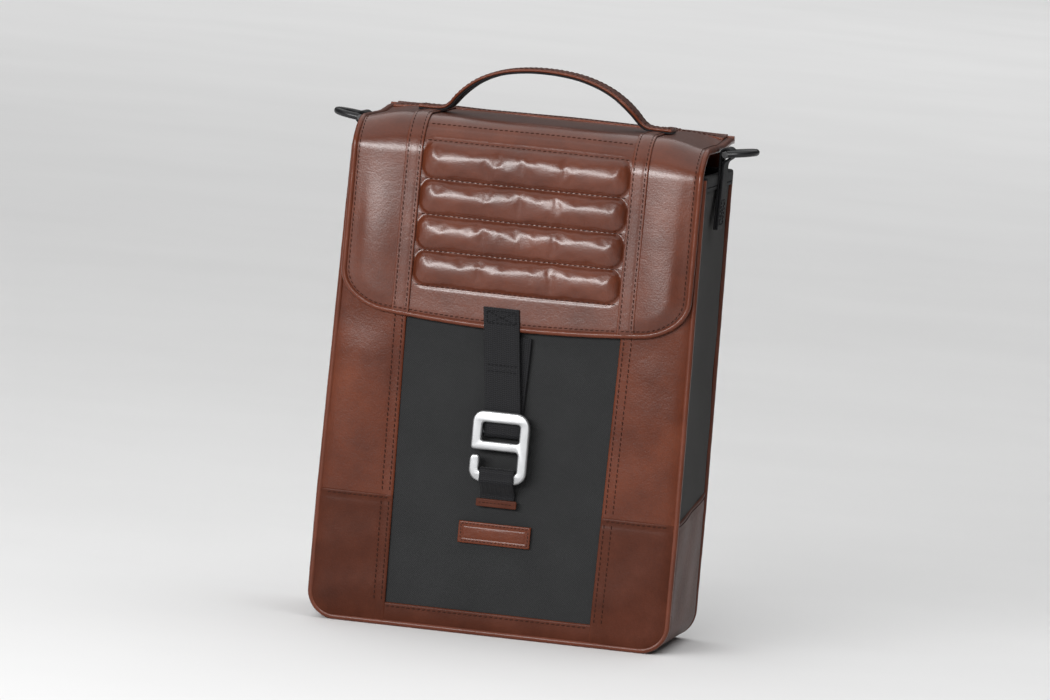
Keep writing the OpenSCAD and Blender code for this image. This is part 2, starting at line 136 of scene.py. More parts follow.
def spaced(length, step, edge=0.0):
    """Places from 0 to length about a step apart, closer within edge of each end."""
    middle = np.linspace(edge, length - edge, max(2, int(round((length - 2 * edge) / step)) + 1))
    if not edge:
        return middle
    close = edge * np.array([0, 0.06, 0.2, 0.42, 0.7])
    return np.concatenate([close, middle, length - close[::-1]])


def arc(cx, cy, r, a0, a1, n=12):
    t = np.radians(np.linspace(a0, a1, n + 1))
    return np.stack([cx + r * np.cos(t), cy + r * np.sin(t)], 1)


def between(start, end, n):
    """Places strictly between two points."""
    t = np.linspace(0, 1, n + 1)[1:-1, None]
    return np.array(start) * (1 - t) + np.array(end) * t


def pieces(*names):
    return [bpy.data.objects[name] for name in names]


def straight(a, b, step=2 * MM):
    """A straight line of points about a step apart, with both its ends."""
    a, b = np.array(a, float), np.array(b, float)
    n = max(2, int(np.linalg.norm(b - a) / step) + 1)
    return a + (b - a) * np.linspace(0, 1, n)[:, None]


def unit(rows):
    """Each row at length 1."""
    return rows / np.linalg.norm(rows, axis=1)[:, None]


def gone(path):
    """The length along a path up to each of its points."""
    return np.concatenate([[0], np.cumsum(np.linalg.norm(np.diff(path, axis=0), axis=1))])


def upright(line, x=0.0):
    """A line of (y, z) places as 3-D points at one x."""
    return np.stack([x + 0 * line[:, 0], line[:, 0], line[:, 1]], 1)


# ---------------------------------------------------------------- meshes


def add(name, data):
    """Puts new data into the scene as an object."""
    obj = bpy.data.objects.new(name, data)
    bpy.context.scene.collection.objects.link(obj)
    return obj


def reshape(mesh, change=None):
    """Makes a change to a mesh, if one is given, and turns its faces outward."""
    bm = bmesh.new()
    bm.from_mesh(mesh)
    bm.verts.ensure_lookup_table()
    if change:
        change(bm)
    bmesh.ops.recalc_face_normals(bm, faces=bm.faces)
    bm.to_mesh(mesh)
    bm.free()


def weld(bm, distance=0.01 * MM):
    """Merges the doubled points where a swept shape meets itself."""
    bmesh.ops.remove_doubles(bm, verts=bm.verts, dist=distance)


def settle(obj):
    """Turns an object's modifiers into its own mesh."""
    graph = bpy.context.evaluated_depsgraph_get()
    mesh = bpy.data.meshes.new_from_object(obj.evaluated_get(graph))
    obj.modifiers.clear()
    obj.data = mesh
    return obj


def grid(name, points, uv=None, closed=False):
    """A sheet through points[row, column]. uv runs along its fibres, for the woven materials."""
    rows, cols = points.shape[:2]
    faces = []
    for i in range(rows - 1):
        for j in range(cols - (0 if closed else 1)):
            k = (j + 1) % cols
            faces.append((i * cols + j, i * cols + k, (i + 1) * cols + k, (i + 1) * cols + j))
    mesh = bpy.data.meshes.new(name)
    mesh.from_pydata(points.reshape(-1, 3).tolist(), [], faces)
    if uv is not None:
        fibre = np.concatenate([uv.reshape(-1, 2), np.zeros((rows * cols, 1))], 1)
        layer = mesh.attributes.new("fibre", "FLOAT_VECTOR", "POINT")
        layer.data.foreach_set("vector", fibre.astype(np.float32).ravel())
    mesh.shade_smooth()
    return add(name, mesh)


def thicken(obj, thickness, offset=-1):
    """Gives a sheet a thickness, behind its face for -1 and in front of it for 1."""
    shell = obj.modifiers.new("thickness", "SOLIDIFY")
    shell.thickness, shell.offset = thickness, offset


def uv_of(rows, cols):
    """Lengths along a grid's rows and columns, for the weave."""
    u, v = np.meshgrid(cols, rows)
    return np.stack([u, v], -1)


def join(name, objects):
    """Joins meshes into the first and names it."""
    first = objects[0]
    if len(objects) > 1:
        with bpy.context.temp_override(active_object=first, selected_editable_objects=objects,
                                       selected_objects=objects, object=first):
            bpy.ops.object.join()
    first.name = name
    first.data.name = name
    return first


def facing(path, across):
    """Normals along a path for a ribbon whose width lies along across."""
    return unit(np.cross(np.gradient(path, axis=0), across))


def strap(name, path, across, half, thickness, crown=0.0, edge_dip=0.0):
    """A flat strap along a path, with rounded edges. half may change along it."""
    path, across = np.asarray(path, float), np.asarray(across, float)
    half = np.broadcast_to(np.asarray(half, float), len(path))
    normal = facing(path, across)
    r = thickness / 2
    flats = np.linspace(-1, 1, 9)
    face = [(f, 1, r + crown * (1 - f * f) - edge_dip * groove((abs(f) - 0.78) * 12, 1.2)) for f in flats]
    under = [(f, 1, -r) for f in flats[::-1]]
    side = [(1, 0, r * math.cos(a)) for a in np.radians([45, 90, 135])]
    other = [(-1, 0, -r * math.cos(a)) for a in np.radians([45, 90, 135])]
    ring = face + side + under + other
    points = np.zeros((len(path), len(ring), 3))
    uv = np.zeros((len(path), len(ring), 2))
    length = gone(path)
    round_edge = 0.9                           # how wide the rounded edge is, against the half thickness
    for j, (f, flat, out) in enumerate(ring):
        bulge = 0 if flat else math.sqrt(max(r * r - out * out, 0)) * round_edge
        reach = f * (half - r * round_edge + bulge)
        points[:, j] = path + across * reach[:, None] + normal * out
        uv[:, j, 0] = reach
        uv[:, j, 1] = length
    obj = grid(name, points, uv, closed=True)
    cap_ends(obj, len(path), len(ring))
    return obj


def cap_ends(obj, rows, cols):
    """Closes both ends of a swept shape, with sharp edges."""
    def close(bm):
        for first, step in ((0, 1), ((rows - 1) * cols, -1)):
            cap = bm.faces.new([bm.verts[first + j] for j in range(cols)][::step])
            for edge in cap.edges:
                edge.smooth = False

    reshape(obj.data, close)


def tube(name, path, sides, a, b=None, up=(0, 1, 0), wobble=0.0, seed=0):
    """A tube along a path, a wide along up and b wide across it."""
    path, up = np.asarray(path, float), np.asarray(up, float)
    b = a if b is None else b
    tangent = unit(np.gradient(path, axis=0))
    side = unit(np.cross(tangent, up))
    top = np.cross(side, tangent)
    length = gone(path)
    uneven = 1 + wobble * ripples(length, 0 * length, 9 * MM, seed)
    angles = np.linspace(0, TAU, sides, endpoint=False)
    points = np.stack([path + top * (a * math.cos(t) * uneven)[:, None]
                       + side * (b * math.sin(t) * uneven)[:, None] for t in angles], 1)
    obj = grid(name, points, uv_of(length, angles * a), closed=True)
    cap_ends(obj, len(path), sides)
    return obj


def at_length(places, run, values):
    """Values given along a path, at one length or at many."""
    return np.stack([np.interp(places, run, values[:, k]) for k in range(values.shape[1])], -1)


def stitches(name, lines, pitch=3.6 * MM, long=2.7 * MM, r=0.42 * MM, sink=0.12 * MM, tilt=0.12):
    """Rows of thread. Each line is (points, outward normals). A stitch is a short fat spindle."""
    verts, faces = [], []
    profile = [(-0.5, 0.25), (-0.36, 0.8), (0, 1), (0.36, 0.8), (0.5, 0.25)]
    sides = 6
    for points, normals in lines:
        run = gone(points)
        for at in np.arange(pitch / 2, run[-1] - pitch / 4, pitch):
            p, q = at_length(at, run, points), at_length(at + pitch / 4, run, points)
            n = at_length(at, run, normals)
            n /= np.linalg.norm(n)
            along = q - p
            along /= np.linalg.norm(along)
            across = np.cross(n, along)
            along = along + tilt * across
            along /= np.linalg.norm(along)
            across = np.cross(n, along)
            base = len(verts)
            for t, w in profile:
                middle = p + along * t * long + n * (r * (w - 0.35) - sink)
                for k in range(sides):
                    a = TAU * k / sides
                    verts.append(middle + across * (r * w * math.cos(a)) + n * (r * w * math.sin(a)))
            for i in range(len(profile) - 1):
                for k in range(sides):
                    m = (k + 1) % sides
                    faces.append((base + i * sides + k, base + i * sides + m,
                                  base + (i + 1) * sides + m, base + (i + 1) * sides + k))
            faces.append(tuple(base + k for k in range(sides - 1, -1, -1)))
            faces.append(tuple(base + (len(profile) - 1) * sides + k for k in range(sides)))
    mesh = bpy.data.meshes.new(name)
    mesh.from_pydata([v.tolist() for v in verts], [], faces)
    reshape(mesh)
    mesh.shade_smooth()
    return add(name, mesh)


# ---------------------------------------------------------------- materials


def material(name, **values):
    mat = bpy.data.materials.new(name)
    mat.use_nodes = True
    shader = mat.node_tree.nodes["Principled BSDF"]
    for key, value in values.items():
        shader.inputs[key.replace("_", " ")].default_value = value
    return mat, mat.node_tree, shader


def node(tree, kind, inputs=None, **settings):
    made = tree.nodes.new("ShaderNode" + kind)
    for key, value in settings.items():
        setattr(made, key, value)
    for key, value in (inputs or {}).items():
        if isinstance(value, bpy.types.NodeSocket):
            tree.links.new(value, made.inputs[key])
        else:
            made.inputs[key].default_value = value
    return made


def colours(tree, factor, stops):
    """A ramp from a value to linear colours."""
    ramp = node(tree, "ValToRGB", {"Fac": factor})
    elements = ramp.color_ramp.elements
    while len(elements) < len(stops):
        elements.new(0.5)
    for element, (at, colour) in zip(elements, stops):
        element.position = at
        element.color = (*colour, 1)
    return ramp.outputs["Color"]


def math_node(tree, operation, a, b=0.0):
    return node(tree, "Math", {0: a, 1: b}, operation=operation).outputs[0]


def place(tree):
    return node(tree, "TexCoord").outputs["Object"]


def bump(tree, height, distance, strength=1.0, normal=None):
    inputs = {"Height": height, "Distance": distance, "Strength": strength}
    if normal is not None:
        inputs["Normal"] = normal
    return node(tree, "Bump", inputs).outputs["Normal"]


def leather(name, dark, mid, light, roughness=0.3, grain=0.7, shine=0.15):
    """Smooth pull-up leather: cloudy colour, fine grain, thin creases, and paler folded edges, partly wear
    and partly a painted highlight where the edges catch the light.
    """
    mat, tree, shader = material(name, Coat_Weight=0.6 * shine, Coat_Roughness=0.18,
                                 Specular_IOR_Level=shine)
    where = place(tree)
    cloud = node(tree, "TexNoise", {"Vector": where, "Scale": 26.0, "Detail": 5.0, "Roughness": 0.62})
    tone = colours(tree, cloud.outputs["Fac"], [(0.3, dark), (0.52, mid), (0.76, light)])
    mottle = node(tree, "TexNoise", {"Vector": where, "Scale": 420.0, "Detail": 3.0})
    tone = node(tree, "Mix", {"Factor": math_node(tree, "MULTIPLY", mottle.outputs["Fac"], 0.3), 6: tone,
                              7: (*[c * 0.45 for c in dark], 1)}, data_type="RGBA").outputs[2]
    # sharp folded edges are lightened: partly rubbed wear, partly a painted highlight where they catch the
    # light
    edge = node(tree, "MapRange", {"Value": node(tree, "NewGeometry").outputs["Pointiness"],
                                   "From Min": 0.515, "From Max": 0.58})
    worn_and_highlit_edge = node(tree, "Mix", {"Factor": math_node(tree, "MULTIPLY", edge.outputs[0], 0.4), 6: tone,
                              7: (*[min(1, c * 1.6) for c in light], 1)}, data_type="RGBA").outputs[2]
    tree.links.new(worn_and_highlit_edge, shader.inputs["Base Color"])
    cells = node(tree, "TexVoronoi", {"Vector": where, "Scale": 820.0, "Randomness": 1.0}, feature="F1")
    pores = node(tree, "TexNoise", {"Vector": where, "Scale": 1500.0, "Detail": 2.0})
    crease = node(tree, "TexNoise", {"Vector": where, "Scale": 55.0, "Detail": 4.0, "Roughness": 0.55})
    fold = math_node(tree, "POWER", math_node(tree, "ABSOLUTE", math_node(
        tree, "SUBTRACT", crease.outputs["Fac"], 0.5)), 0.5)
    height = math_node(tree, "ADD", math_node(tree, "MULTIPLY", cells.outputs["Distance"], 0.55),
                       math_node(tree, "MULTIPLY", pores.outputs["Fac"], 0.45))
    fine = bump(tree, height, 0.00016 * grain, 0.75)
    tree.links.new(bump(tree, fold, 0.0007, 0.2, fine), shader.inputs["Normal"])
    sheen = node(tree, "MapRange", {"Value": mottle.outputs["Fac"], "To Min": roughness - 0.06,
                                    "To Max": roughness + 0.07})
    tree.links.new(sheen.outputs[0], shader.inputs["Roughness"])
    return mat


def woven(name, dark, light, pitch, depth=0.00018, roughness=0.88, sheen=0.04):
    """A plain weave whose threads follow the piece's fibre coordinates."""
    mat, tree, shader = material(name, Roughness=roughness, Sheen_Weight=sheen, Sheen_Roughness=0.5,
                                 Specular_IOR_Level=0.08)
    fibre = node(tree, "Attribute", attribute_name="fibre").outputs["Vector"]
    axes = node(tree, "SeparateXYZ", {"Vector": fibre})
    wobble = node(tree, "TexNoise", {"Vector": place(tree), "Scale": 260.0, "Detail": 2.0})
    shift = math_node(tree, "MULTIPLY", wobble.outputs["Fac"], 2.2)
    waves = [math_node(tree, "SINE", math_node(tree, "ADD", math_node(
        tree, "MULTIPLY", axes.outputs[k], TAU / pitch), shift)) for k in (0, 1)]
    over = math_node(tree, "MULTIPLY", waves[0], waves[1])
    height = math_node(tree, "ADD", math_node(tree, "MULTIPLY", over, 0.5), 0.5)
    cloud = node(tree, "TexNoise", {"Vector": place(tree), "Scale": 34.0, "Detail": 6.0, "Roughness": 0.6})
    tone = math_node(tree, "ADD", math_node(tree, "MULTIPLY", height, 0.7),
                     math_node(tree, "MULTIPLY", cloud.outputs["Fac"], 0.3))
    tree.links.new(colours(tree, tone, [(0.22, dark), (0.8, light)]), shader.inputs["Base Color"])
    fuzz = node(tree, "TexNoise", {"Vector": place(tree), "Scale": 1900.0, "Detail": 2.0})
    normal = bump(tree, height, depth, 0.9)
    tree.links.new(bump(tree, fuzz.outputs["Fac"], depth * 0.7, 0.6, normal), shader.inputs["Normal"])
    return mat


def ribbed(name, dark, light):
    """Nylon webbing: close twill ribs along the strap and a tight edge."""
    mat, tree, shader = material(name, Roughness=0.66, Sheen_Weight=0.05, Sheen_Roughness=0.4,
                                 Specular_IOR_Level=0.12)
    fibre = node(tree, "Attribute", attribute_name="fibre")
    axes = node(tree, "SeparateXYZ", {"Vector": fibre.outputs["Vector"]})
    across = math_node(tree, "SINE", math_node(tree, "MULTIPLY", axes.outputs[0], TAU / 0.0031))
    lean = math_node(tree, "MULTIPLY", across, 1.5)
    along = math_node(tree, "SINE", math_node(tree, "ADD", math_node(
        tree, "MULTIPLY", axes.outputs[1], TAU / 0.0013), lean))
    height = math_node(tree, "ADD", math_node(tree, "MULTIPLY", along, 0.34),
                       math_node(tree, "MULTIPLY", math_node(tree, "ABSOLUTE", across), 0.4))
    tree.links.new(colours(tree, math_node(tree, "ADD", height, 0.4), [(0.1, dark), (0.95, light)]),
                   shader.inputs["Base Color"])
    tree.links.new(bump(tree, height, 0.00022, 0.9), shader.inputs["Normal"])
    return mat


def hard(name, colour, metallic, roughness, scale=900.0, depth=0.00004, spread=0.1, **values):
    """Metal or moulded plastic with fine surface texture and uneven gloss."""
    mat, tree, shader = material(name, Metallic=metallic, **values)
    noise = node(tree, "TexNoise", {"Vector": place(tree), "Scale": scale, "Detail": 4.0})
    smudge = node(tree, "TexNoise", {"Vector": place(tree), "Scale": 60.0, "Detail": 5.0})
    gloss = node(tree, "MapRange", {"Value": smudge.outputs["Fac"], "To Min": roughness - spread,
                                    "To Max": roughness + spread})
    tone = colours(tree, smudge.outputs["Fac"], [(0.25, [c * 0.86 for c in colour]), (0.75, colour)])
    tree.links.new(tone, shader.inputs["Base Color"])
    tree.links.new(gloss.outputs[0], shader.inputs["Roughness"])
    tree.links.new(bump(tree, noise.outputs["Fac"], depth, 0.5), shader.inputs["Normal"])
    return mat


def thread(name, colour):
    mat, tree, shader = material(name, Roughness=0.7, Specular_IOR_Level=0.15)
    twist = node(tree, "TexWave", {"Vector": place(tree), "Scale": 700.0, "Distortion": 1.0})
    tree.links.new(colours(tree, twist.outputs["Fac"], [(0.2, [c * 0.6 for c in colour]), (0.8, colour)]),
                   shader.inputs["Base Color"])
    tree.links.new(bump(tree, twist.outputs["Fac"], 0.0001, 0.6), shader.inputs["Normal"])
    return mat


BROWN_TONES = (0.066, 0.0150, 0.0062), (0.095, 0.0225, 0.0092), (0.128, 0.0330, 0.0145)
BROWN = leather("brown_leather", *BROWN_TONES)
FLAP_BROWN = leather("flap_leather", *BROWN_TONES, roughness=0.33, shine=0.36)
DARK_BROWN = leather("boot_leather", (0.046, 0.0120, 0.0060), (0.067, 0.0180, 0.0090),
                     (0.092, 0.0265, 0.0145), roughness=0.42, shine=0.07)
TRIM = leather("piping_leather", (0.066, 0.0160, 0.0072), (0.094, 0.0235, 0.0108),
               (0.128, 0.0350, 0.0175), shine=0.2)
CANVAS = woven("black_canvas", (0.0130, 0.0133, 0.0136), (0.0325, 0.0330, 0.0336), 0.00125)
GUSSET = woven("gusset_canvas", (0.026, 0.0255, 0.025), (0.066, 0.064, 0.062), 0.00125)
LINING = woven("lining_cloth", (0.040, 0.040, 0.043), (0.095, 0.095, 0.100), 0.0007, 0.0001, 0.88)
WEB = ribbed("black_webbing", (0.003, 0.003, 0.0034), (0.015, 0.015, 0.0165))
SILVER = hard("satin_alloy", (0.33, 0.333, 0.338), 1.0, 0.4, 1400.0, 0.00003)
STEEL = hard("steel", (0.40, 0.41, 0.43), 1.0, 0.36, 1200.0)
BLACK_METAL = hard("black_wire", (0.009, 0.009, 0.010), 0.0, 0.34, 1000.0, Specular_IOR_Level=0.35)
BLACK_PLASTIC = hard("black_plastic", (0.020, 0.020, 0.021), 0.0, 0.55, 1300.0, 0.00012)
BOARD = hard("stiffener_board", (0.016, 0.016, 0.017), 0.0, 0.6, 300.0, 0.00006)
BROWN_THREAD = thread("brown_thread", (0.042, 0.0125, 0.0065))
BLACK_THREAD = thread("black_thread", (0.010, 0.010, 0.011))


def dress(obj, mat, body=None, stands_for=()):
    """Gives a piece its material and body, and hides the CAD nodes that it stands for."""
    obj.data.materials.clear()
    obj.data.materials.append(mat)
    if body:
        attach(obj, body)
    if stands_for:
        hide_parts(*stands_for)
    return obj


# ---------------------------------------------------------------- cloth simulation
CLOTH = {"vertex_group_mass": "pinned", "use_pressure": True, "uniform_pressure_force": 14.0,
         "shrink_min": -0.012, "quality": 6, "mass": 0.35, "bending_stiffness": 4.0,
         "tension_stiffness": 18, "compression_stiffness": 18}
CLOTH_FRAMES = 18
CLOTH_SHARE = 0.65                             # how much of the cloth's movement is kept
CLOTH_CAP = 2.5 * MM                           # the furthest that a point of the cloth is taken to move


def inflate(obj, pinned):
    """Swells a flat sheet as cloth between its pinned points, and keeps a share of the movement."""
    scene = bpy.context.scene
    group = obj.vertex_groups.new(name="pinned")
    group.add([int(i) for i in np.nonzero(pinned)[0]], 1.0, "REPLACE")
    cloth = obj.modifiers.new("cloth", "CLOTH")
    for key, value in CLOTH.items():
        setattr(cloth.settings, key, value)
    cloth.settings.effector_weights.gravity = 0
    cloth.collision_settings.use_collision = False
    cloth.point_cache.frame_start, cloth.point_cache.frame_end = 1, CLOTH_FRAMES
    for number in range(1, CLOTH_FRAMES + 1):
        scene.frame_set(number)
    rest = np.array([v.co for v in obj.data.vertices])
    settle(obj)
    moved = CLOTH_SHARE * (np.array([v.co for v in obj.data.vertices]) - rest)
    far = np.linalg.norm(moved, axis=1)
    moved *= (np.minimum(far, CLOTH_CAP) / np.maximum(far, 1e-9))[:, None]
    obj.data.vertices.foreach_set("co", (rest + moved).astype(np.float32).ravel())
    obj.vertex_groups.clear()
    scene.frame_set(1)


# ---------------------------------------------------------------- the shell's shape
SEAM_IN = PIPE                                 # skins run in to the middle of the piping
BOARDS_IN = 6.5 * MM                           # the lining lies this far inside front and back


def side_x(z, d=0.0):
    """Half width of the shell at a height, less an inset."""
    return BASE_HALF - d - (BASE_HALF - TOP_HALF) * np.clip((z - BOOT) / (MOUTH - BOOT), 0, 1)


def canvas_x(z):
    """Half width of the canvas front panel at a height."""
    return CANVAS_LOW + (CANVAS_TOP - CANVAS_LOW) * (z - LIP) / (MOUTH - LIP)


def seam_z(y):
    """Height of the boot's sloping top edge on the sides."""
    return BOOT + (REAR_BOOT - BOOT) * (y - FRONT) / (BACK - FRONT)


def inset(x, z):
    """Distance in from the outline of the front or back, seen square on."""
    x = np.abs(x)
    square = np.minimum(side_x(z) - x, z)
    dx, dz = x - (BASE_HALF - CORNER), CORNER - z
    return np.where((dx > 0) & (dz > 0), CORNER - np.hypot(dx, dz), square)


def tuck(distance, reach=11 * MM):
    """How far a skin turns in where it runs down into the piped seam."""
    return SEAM_IN * (1 - np.clip(distance / reach, 0, 1)) ** 2.2


def edge_x(z, d=SEAM_IN):
    """Half width of the front or back at a height, inset by d, round the bottom corners too."""
    low = CORNER - np.clip(z, d, CORNER)
    bend = CORNER - d - np.sqrt(np.maximum((CORNER - d) ** 2 - low ** 2, 0))
    return side_x(z, d) - bend


def patch(name, width, height, left, right, low, high, put, folds="", r=1.1 * MM, thickness=1.3 * MM,
          step=2.4 * MM):
    """A sewn panel between two edges and two ends. folds names its turned-in sides: l, r, b or t."""
    t = spaced(width, step, 2.4 * r) / width
    w = spaced(height, step, 2.4 * r) / height
    t, w = np.meshgrid(t, w)
    b = low(t) + (high(t) - low(t)) * w
    a = left(b) + (right(b) - left(b)) * t
    sides = {"l": a - left(b), "r": right(b) - a, "b": b - low(t), "t": high(t) - b}
    drop = np.zeros_like(a)
    for side in folds:
        drop = np.maximum(drop, rolled(sides[side], r))
    piece = grid(name, put(a, b, drop), np.stack([a, b], -1))
    thicken(piece, thickness)
    return settle(piece)


def level(value):
    """An edge or end of a panel that keeps one value all along."""
    return lambda q: np.zeros_like(q) + value


def in_order(s, inner, outer):
    """A side piece's inner and outer edges as its left and right ones; s is -1 on the left."""
    return (inner, outer) if s > 0 else (outer, inner)


def on_front(a, b, drop, sink=0.0):
    return np.stack([a, FRONT + sink + drop + tuck(inset(a, b)), b], -1)


def on_back(a, b, drop, sink=0.0):
    return np.stack([-a, BACK - sink - drop - tuck(inset(a, b)), b], -1)


def hollow(y, z):
    """How far the soft side wall draws in between front and back, and away from boot and mouth."""
    t = (y - FRONT) / (BACK - FRONT)
    draw = np.sin(math.pi * np.clip(t, 0, 1)) ** 1.4
    return 3.4 * MM * draw * ease((z - BOOT) / 0.09) * ease((MOUTH - z) / 0.05)


def wrap(s, d):
    """The side skin's line, from under the base round the bottom corner and up: x and z at length s."""
    flat, turn = 4 * MM, CORNER * math.pi / 2
    angle = np.clip((s - flat) / CORNER, 0, math.pi / 2)
    x = BASE_HALF - CORNER - flat + np.minimum(s, flat) + (CORNER - d) * np.sin(angle)
    z = CORNER - (CORNER - d) * np.cos(angle) + np.maximum(s - flat - turn, 0)
    return x, z, flat + turn - CORNER


# ---------------------------------------------------------------- shell pieces


def make_front_canvas():
    def put(a, b, drop):
        soft = 0.4 * MM * ripples(a, b, 0.09, 3)
        return on_front(a, b, drop, 1.5 * MM + soft)

    piece = patch("front_canvas_sewn", 2 * CANVAS_TOP, MOUTH - LIP, lambda b: -canvas_x(b) - 2 * MM,
                  lambda b: canvas_x(b) + 2 * MM, level(LIP - 2 * MM), level(MOUTH), put)
    return dress(piece, CANVAS, "bag", ["front_canvas"])


def across_strip(a, b):
    """0 at the canvas and 1 at the outer edge of the leather beside it."""
    return (np.abs(a) - canvas_x(b)) / (edge_x(b) - canvas_x(b))


def swell(t):
    """0 at both edges of a piece and 1 in its middle."""
    return np.sin(math.pi * np.clip(t, 0, 1))


def sewn_groove(distance):
    """How deep the thread pulls the leather in, at a distance from its row."""
    return 0.5 * MM * groove(distance, 1.3 * MM)


def make_front_strip(side, s):
    def put(a, b, drop):
        t = across_strip(a, b)
        puff = 1.5 * MM * swell(t) * ease((FLAP_LOW + 4 * MM - b) / 0.03)
        seam = sewn_groove(t * 42 * MM - 5.2 * MM)
        soft = 0.35 * MM * ripples(a, b, 0.055, 11 + s)
        return on_front(a, b, drop, -puff - soft + seam)

    left, right = in_order(s, lambda b: s * canvas_x(b), lambda b: s * edge_x(b))
    piece = patch(side + "_strip", 46 * MM, MOUTH - BOOT, left, right, level(BOOT - 3 * MM), level(MOUTH),
                  put, "l" if s > 0 else "r")
    return dress(piece, BROWN, "bag", [side + "_front_strip"])


def make_front_boot(side, s):
    def put(a, b, drop):
        t = across_strip(a, b)
        puff = 1.4 * MM * swell(t) * ease(b / 0.03)
        seam = sewn_groove(t * 46 * MM - 5.2 * MM) + sewn_groove(b - BOOT + 5 * MM)
        soft = 0.35 * MM * ripples(a, b, 0.05, 21 + s)
        return on_front(a, b, drop, -puff - soft + seam - 0.5 * MM)

    left, right = in_order(s, lambda b: s * canvas_x(b), lambda b: s * edge_x(b))
    piece = patch(side + "_boot_corner", 50 * MM, BOOT, left, right, level(SEAM_IN), level(BOOT), put,
                  "lt" if s > 0 else "rt", step=2.0 * MM)
    return dress(piece, DARK_BROWN, "bag", [side + "_front_boot"])


def make_front_lip():
    def put(a, b, drop):
        return on_front(a, b, drop, -0.15 * MM * ripples(a, b, 0.05, 31))

    piece = patch("front_lip_sewn", 2 * CANVAS_LOW, LIP, lambda b: -canvas_x(b) - 1 * MM,
                  lambda b: canvas_x(b) + 1 * MM, level(SEAM_IN), level(LIP), put, "t", step=1.6 * MM)
    return dress(piece, DARK_BROWN, "bag", ["front_lip"])


def ends_tuck(y, reach=12 * MM):
    """How far a side or base skin turns in at its front and back seams."""
    return tuck(np.minimum(y - FRONT, BACK - y), reach)


def side_ends(s):
    """A side skin's two ends, and the boot's sloping edge between them as a function of 0 to 1."""
    ends = sorted([s * (FRONT + SEAM_IN), s * (BACK - SEAM_IN)])
    return ends, lambda t: seam_z(s * (ends[0] + (ends[1] - ends[0]) * t))


def make_gusset(side, s):
    def put(a, b, drop):
        y = s * a
        free = ease((b - BOOT) / (50 * MM)) * ease((MOUTH - b) / (30 * MM))
        crease = 0.5 * MM * ripples(y * 0.6, b, 0.075, 41 + s) * free
        x = side_x(b, 1.3 * MM) - ends_tuck(y, 13 * MM) - hollow(y, b) + crease
        return np.stack([s * x, y, b], -1)

    ends, slope = side_ends(s)
    low = lambda t: slope(t) - 3 * MM
    piece = patch(side + "_side_wall", BACK - FRONT, MOUTH - BOOT, level(ends[0]), level(ends[1]), low,
                  level(MOUTH), put)
    return dress(piece, GUSSET, "bag", [side + "_gusset"])


def make_side_boot(side, s):
    offset = wrap(0.0, 0.0)[2]

    def put(a, b, drop):
        y = s * a
        seam = sewn_groove(b - offset - seam_z(y) + 5 * MM)
        soft = 0.5 * MM * ripples(y, b, 0.05, 51 + s) * ease((b - 25 * MM) / 0.02)
        x, z, _ = wrap(b, ends_tuck(y) + drop + seam + 0.3 * MM + soft)
        return np.stack([s * x, y, z], -1)

    ends, slope = side_ends(s)
    piece = patch(side + "_boot_wall", BACK - FRONT, 110 * MM, level(ends[0]), level(ends[1]), level(0.0),
                  lambda t: offset + slope(t), put, "t", step=2.2 * MM)
    return dress(piece, DARK_BROWN, "bag", [side + "_boot"])


def make_base():
    half = BASE_HALF - CORNER - 3 * MM

    def put(a, b, drop):
        soft = 0.25 * MM * (1 + ripples(a, b, 0.06, 61))
        return np.stack([a, -b, 0.1 * MM + ends_tuck(-b) + soft], -1)

    piece = patch("base_skin", 2 * half, BACK - FRONT, level(-half), level(half), level(-BACK + SEAM_IN),
                  level(-FRONT - SEAM_IN), put, step=3 * MM)
    return dress(piece, DARK_BROWN, "bag", ["base_panel"])


def make_back_canvas():
    def put(a, b, drop):
        return on_back(a, b, drop, 0.9 * MM + 0.3 * MM * (1 + ripples(a, b, 0.08, 71)))

    piece = patch("back_canvas", 2 * TOP_HALF, MOUTH - REAR_BOOT, lambda b: -edge_x(b), edge_x,
                  level(REAR_BOOT - 3 * MM), level(MOUTH), put, step=3 * MM)
    return dress(piece, CANVAS, "bag", ["back_panel"])


def make_rear_boot():
    def put(a, b, drop):
        seam = sewn_groove(b - REAR_BOOT + 5 * MM)
        return on_back(a, b, drop, seam + 0.2 * MM * (1 + ripples(a, b, 0.06, 81)))

    piece = patch("rear_boot_skin", 2 * BASE_HALF, REAR_BOOT, lambda b: -edge_x(b), edge_x,
                  level(SEAM_IN), level(REAR_BOOT), put, "t", step=2.6 * MM)
    return dress(piece, DARK_BROWN, "bag", ["rear_boot"])


def outline_path(y, d, top, seed):
    """The shell's edge seen from the front, up one side, as a path at a depth."""
    x = np.arange(0, BASE_HALF - CORNER, 5 * MM)
    bottom = np.stack([x, np.full_like(x, d)], 1)
    corner = arc(BASE_HALF - CORNER, CORNER, CORNER - d, -90, 0, 14)
    z = np.linspace(CORNER, top, 70)[1:]
    side = np.stack([side_x(z, d), z], 1)
    half = np.concatenate([bottom, corner, side])
    whole = np.concatenate([half[::-1] * [-1, 1], half[1:]])
    wander = 0.35 * MM * ripples(whole[:, 0], whole[:, 1], 0.05, seed)
    return np.stack([whole[:, 0], y + wander * ease(whole[:, 1] / 0.05), whole[:, 1]], 1)


def make_piping(name, y, seed, node_name):
    path = outline_path(y, PIPE, MOUTH - 0.2 * MM, seed)
    piece = tube(name, path, 14, PIPE, wobble=0.03, seed=seed)
    return dress(piece, TRIM, "bag", [node_name])


def rounded_plan(half, front, back, r, turn, long, short):
    """A rounded rectangle seen from above; turn, long and short are the steps in its stretches."""
    x, low, high = half - r, front + r, back - r
    return np.concatenate([arc(x, high, r, 0, 90, turn), between((x, back), (-x, back), long),
                           arc(-x, high, r, 90, 180, turn), between((-half, high), (-half, low), short),
                           arc(-x, low, r, 180, 270, turn), between((-x, front), (x, front), long),
                           arc(x, low, r, 270, 360, turn), between((half, low), (half, high), short)])


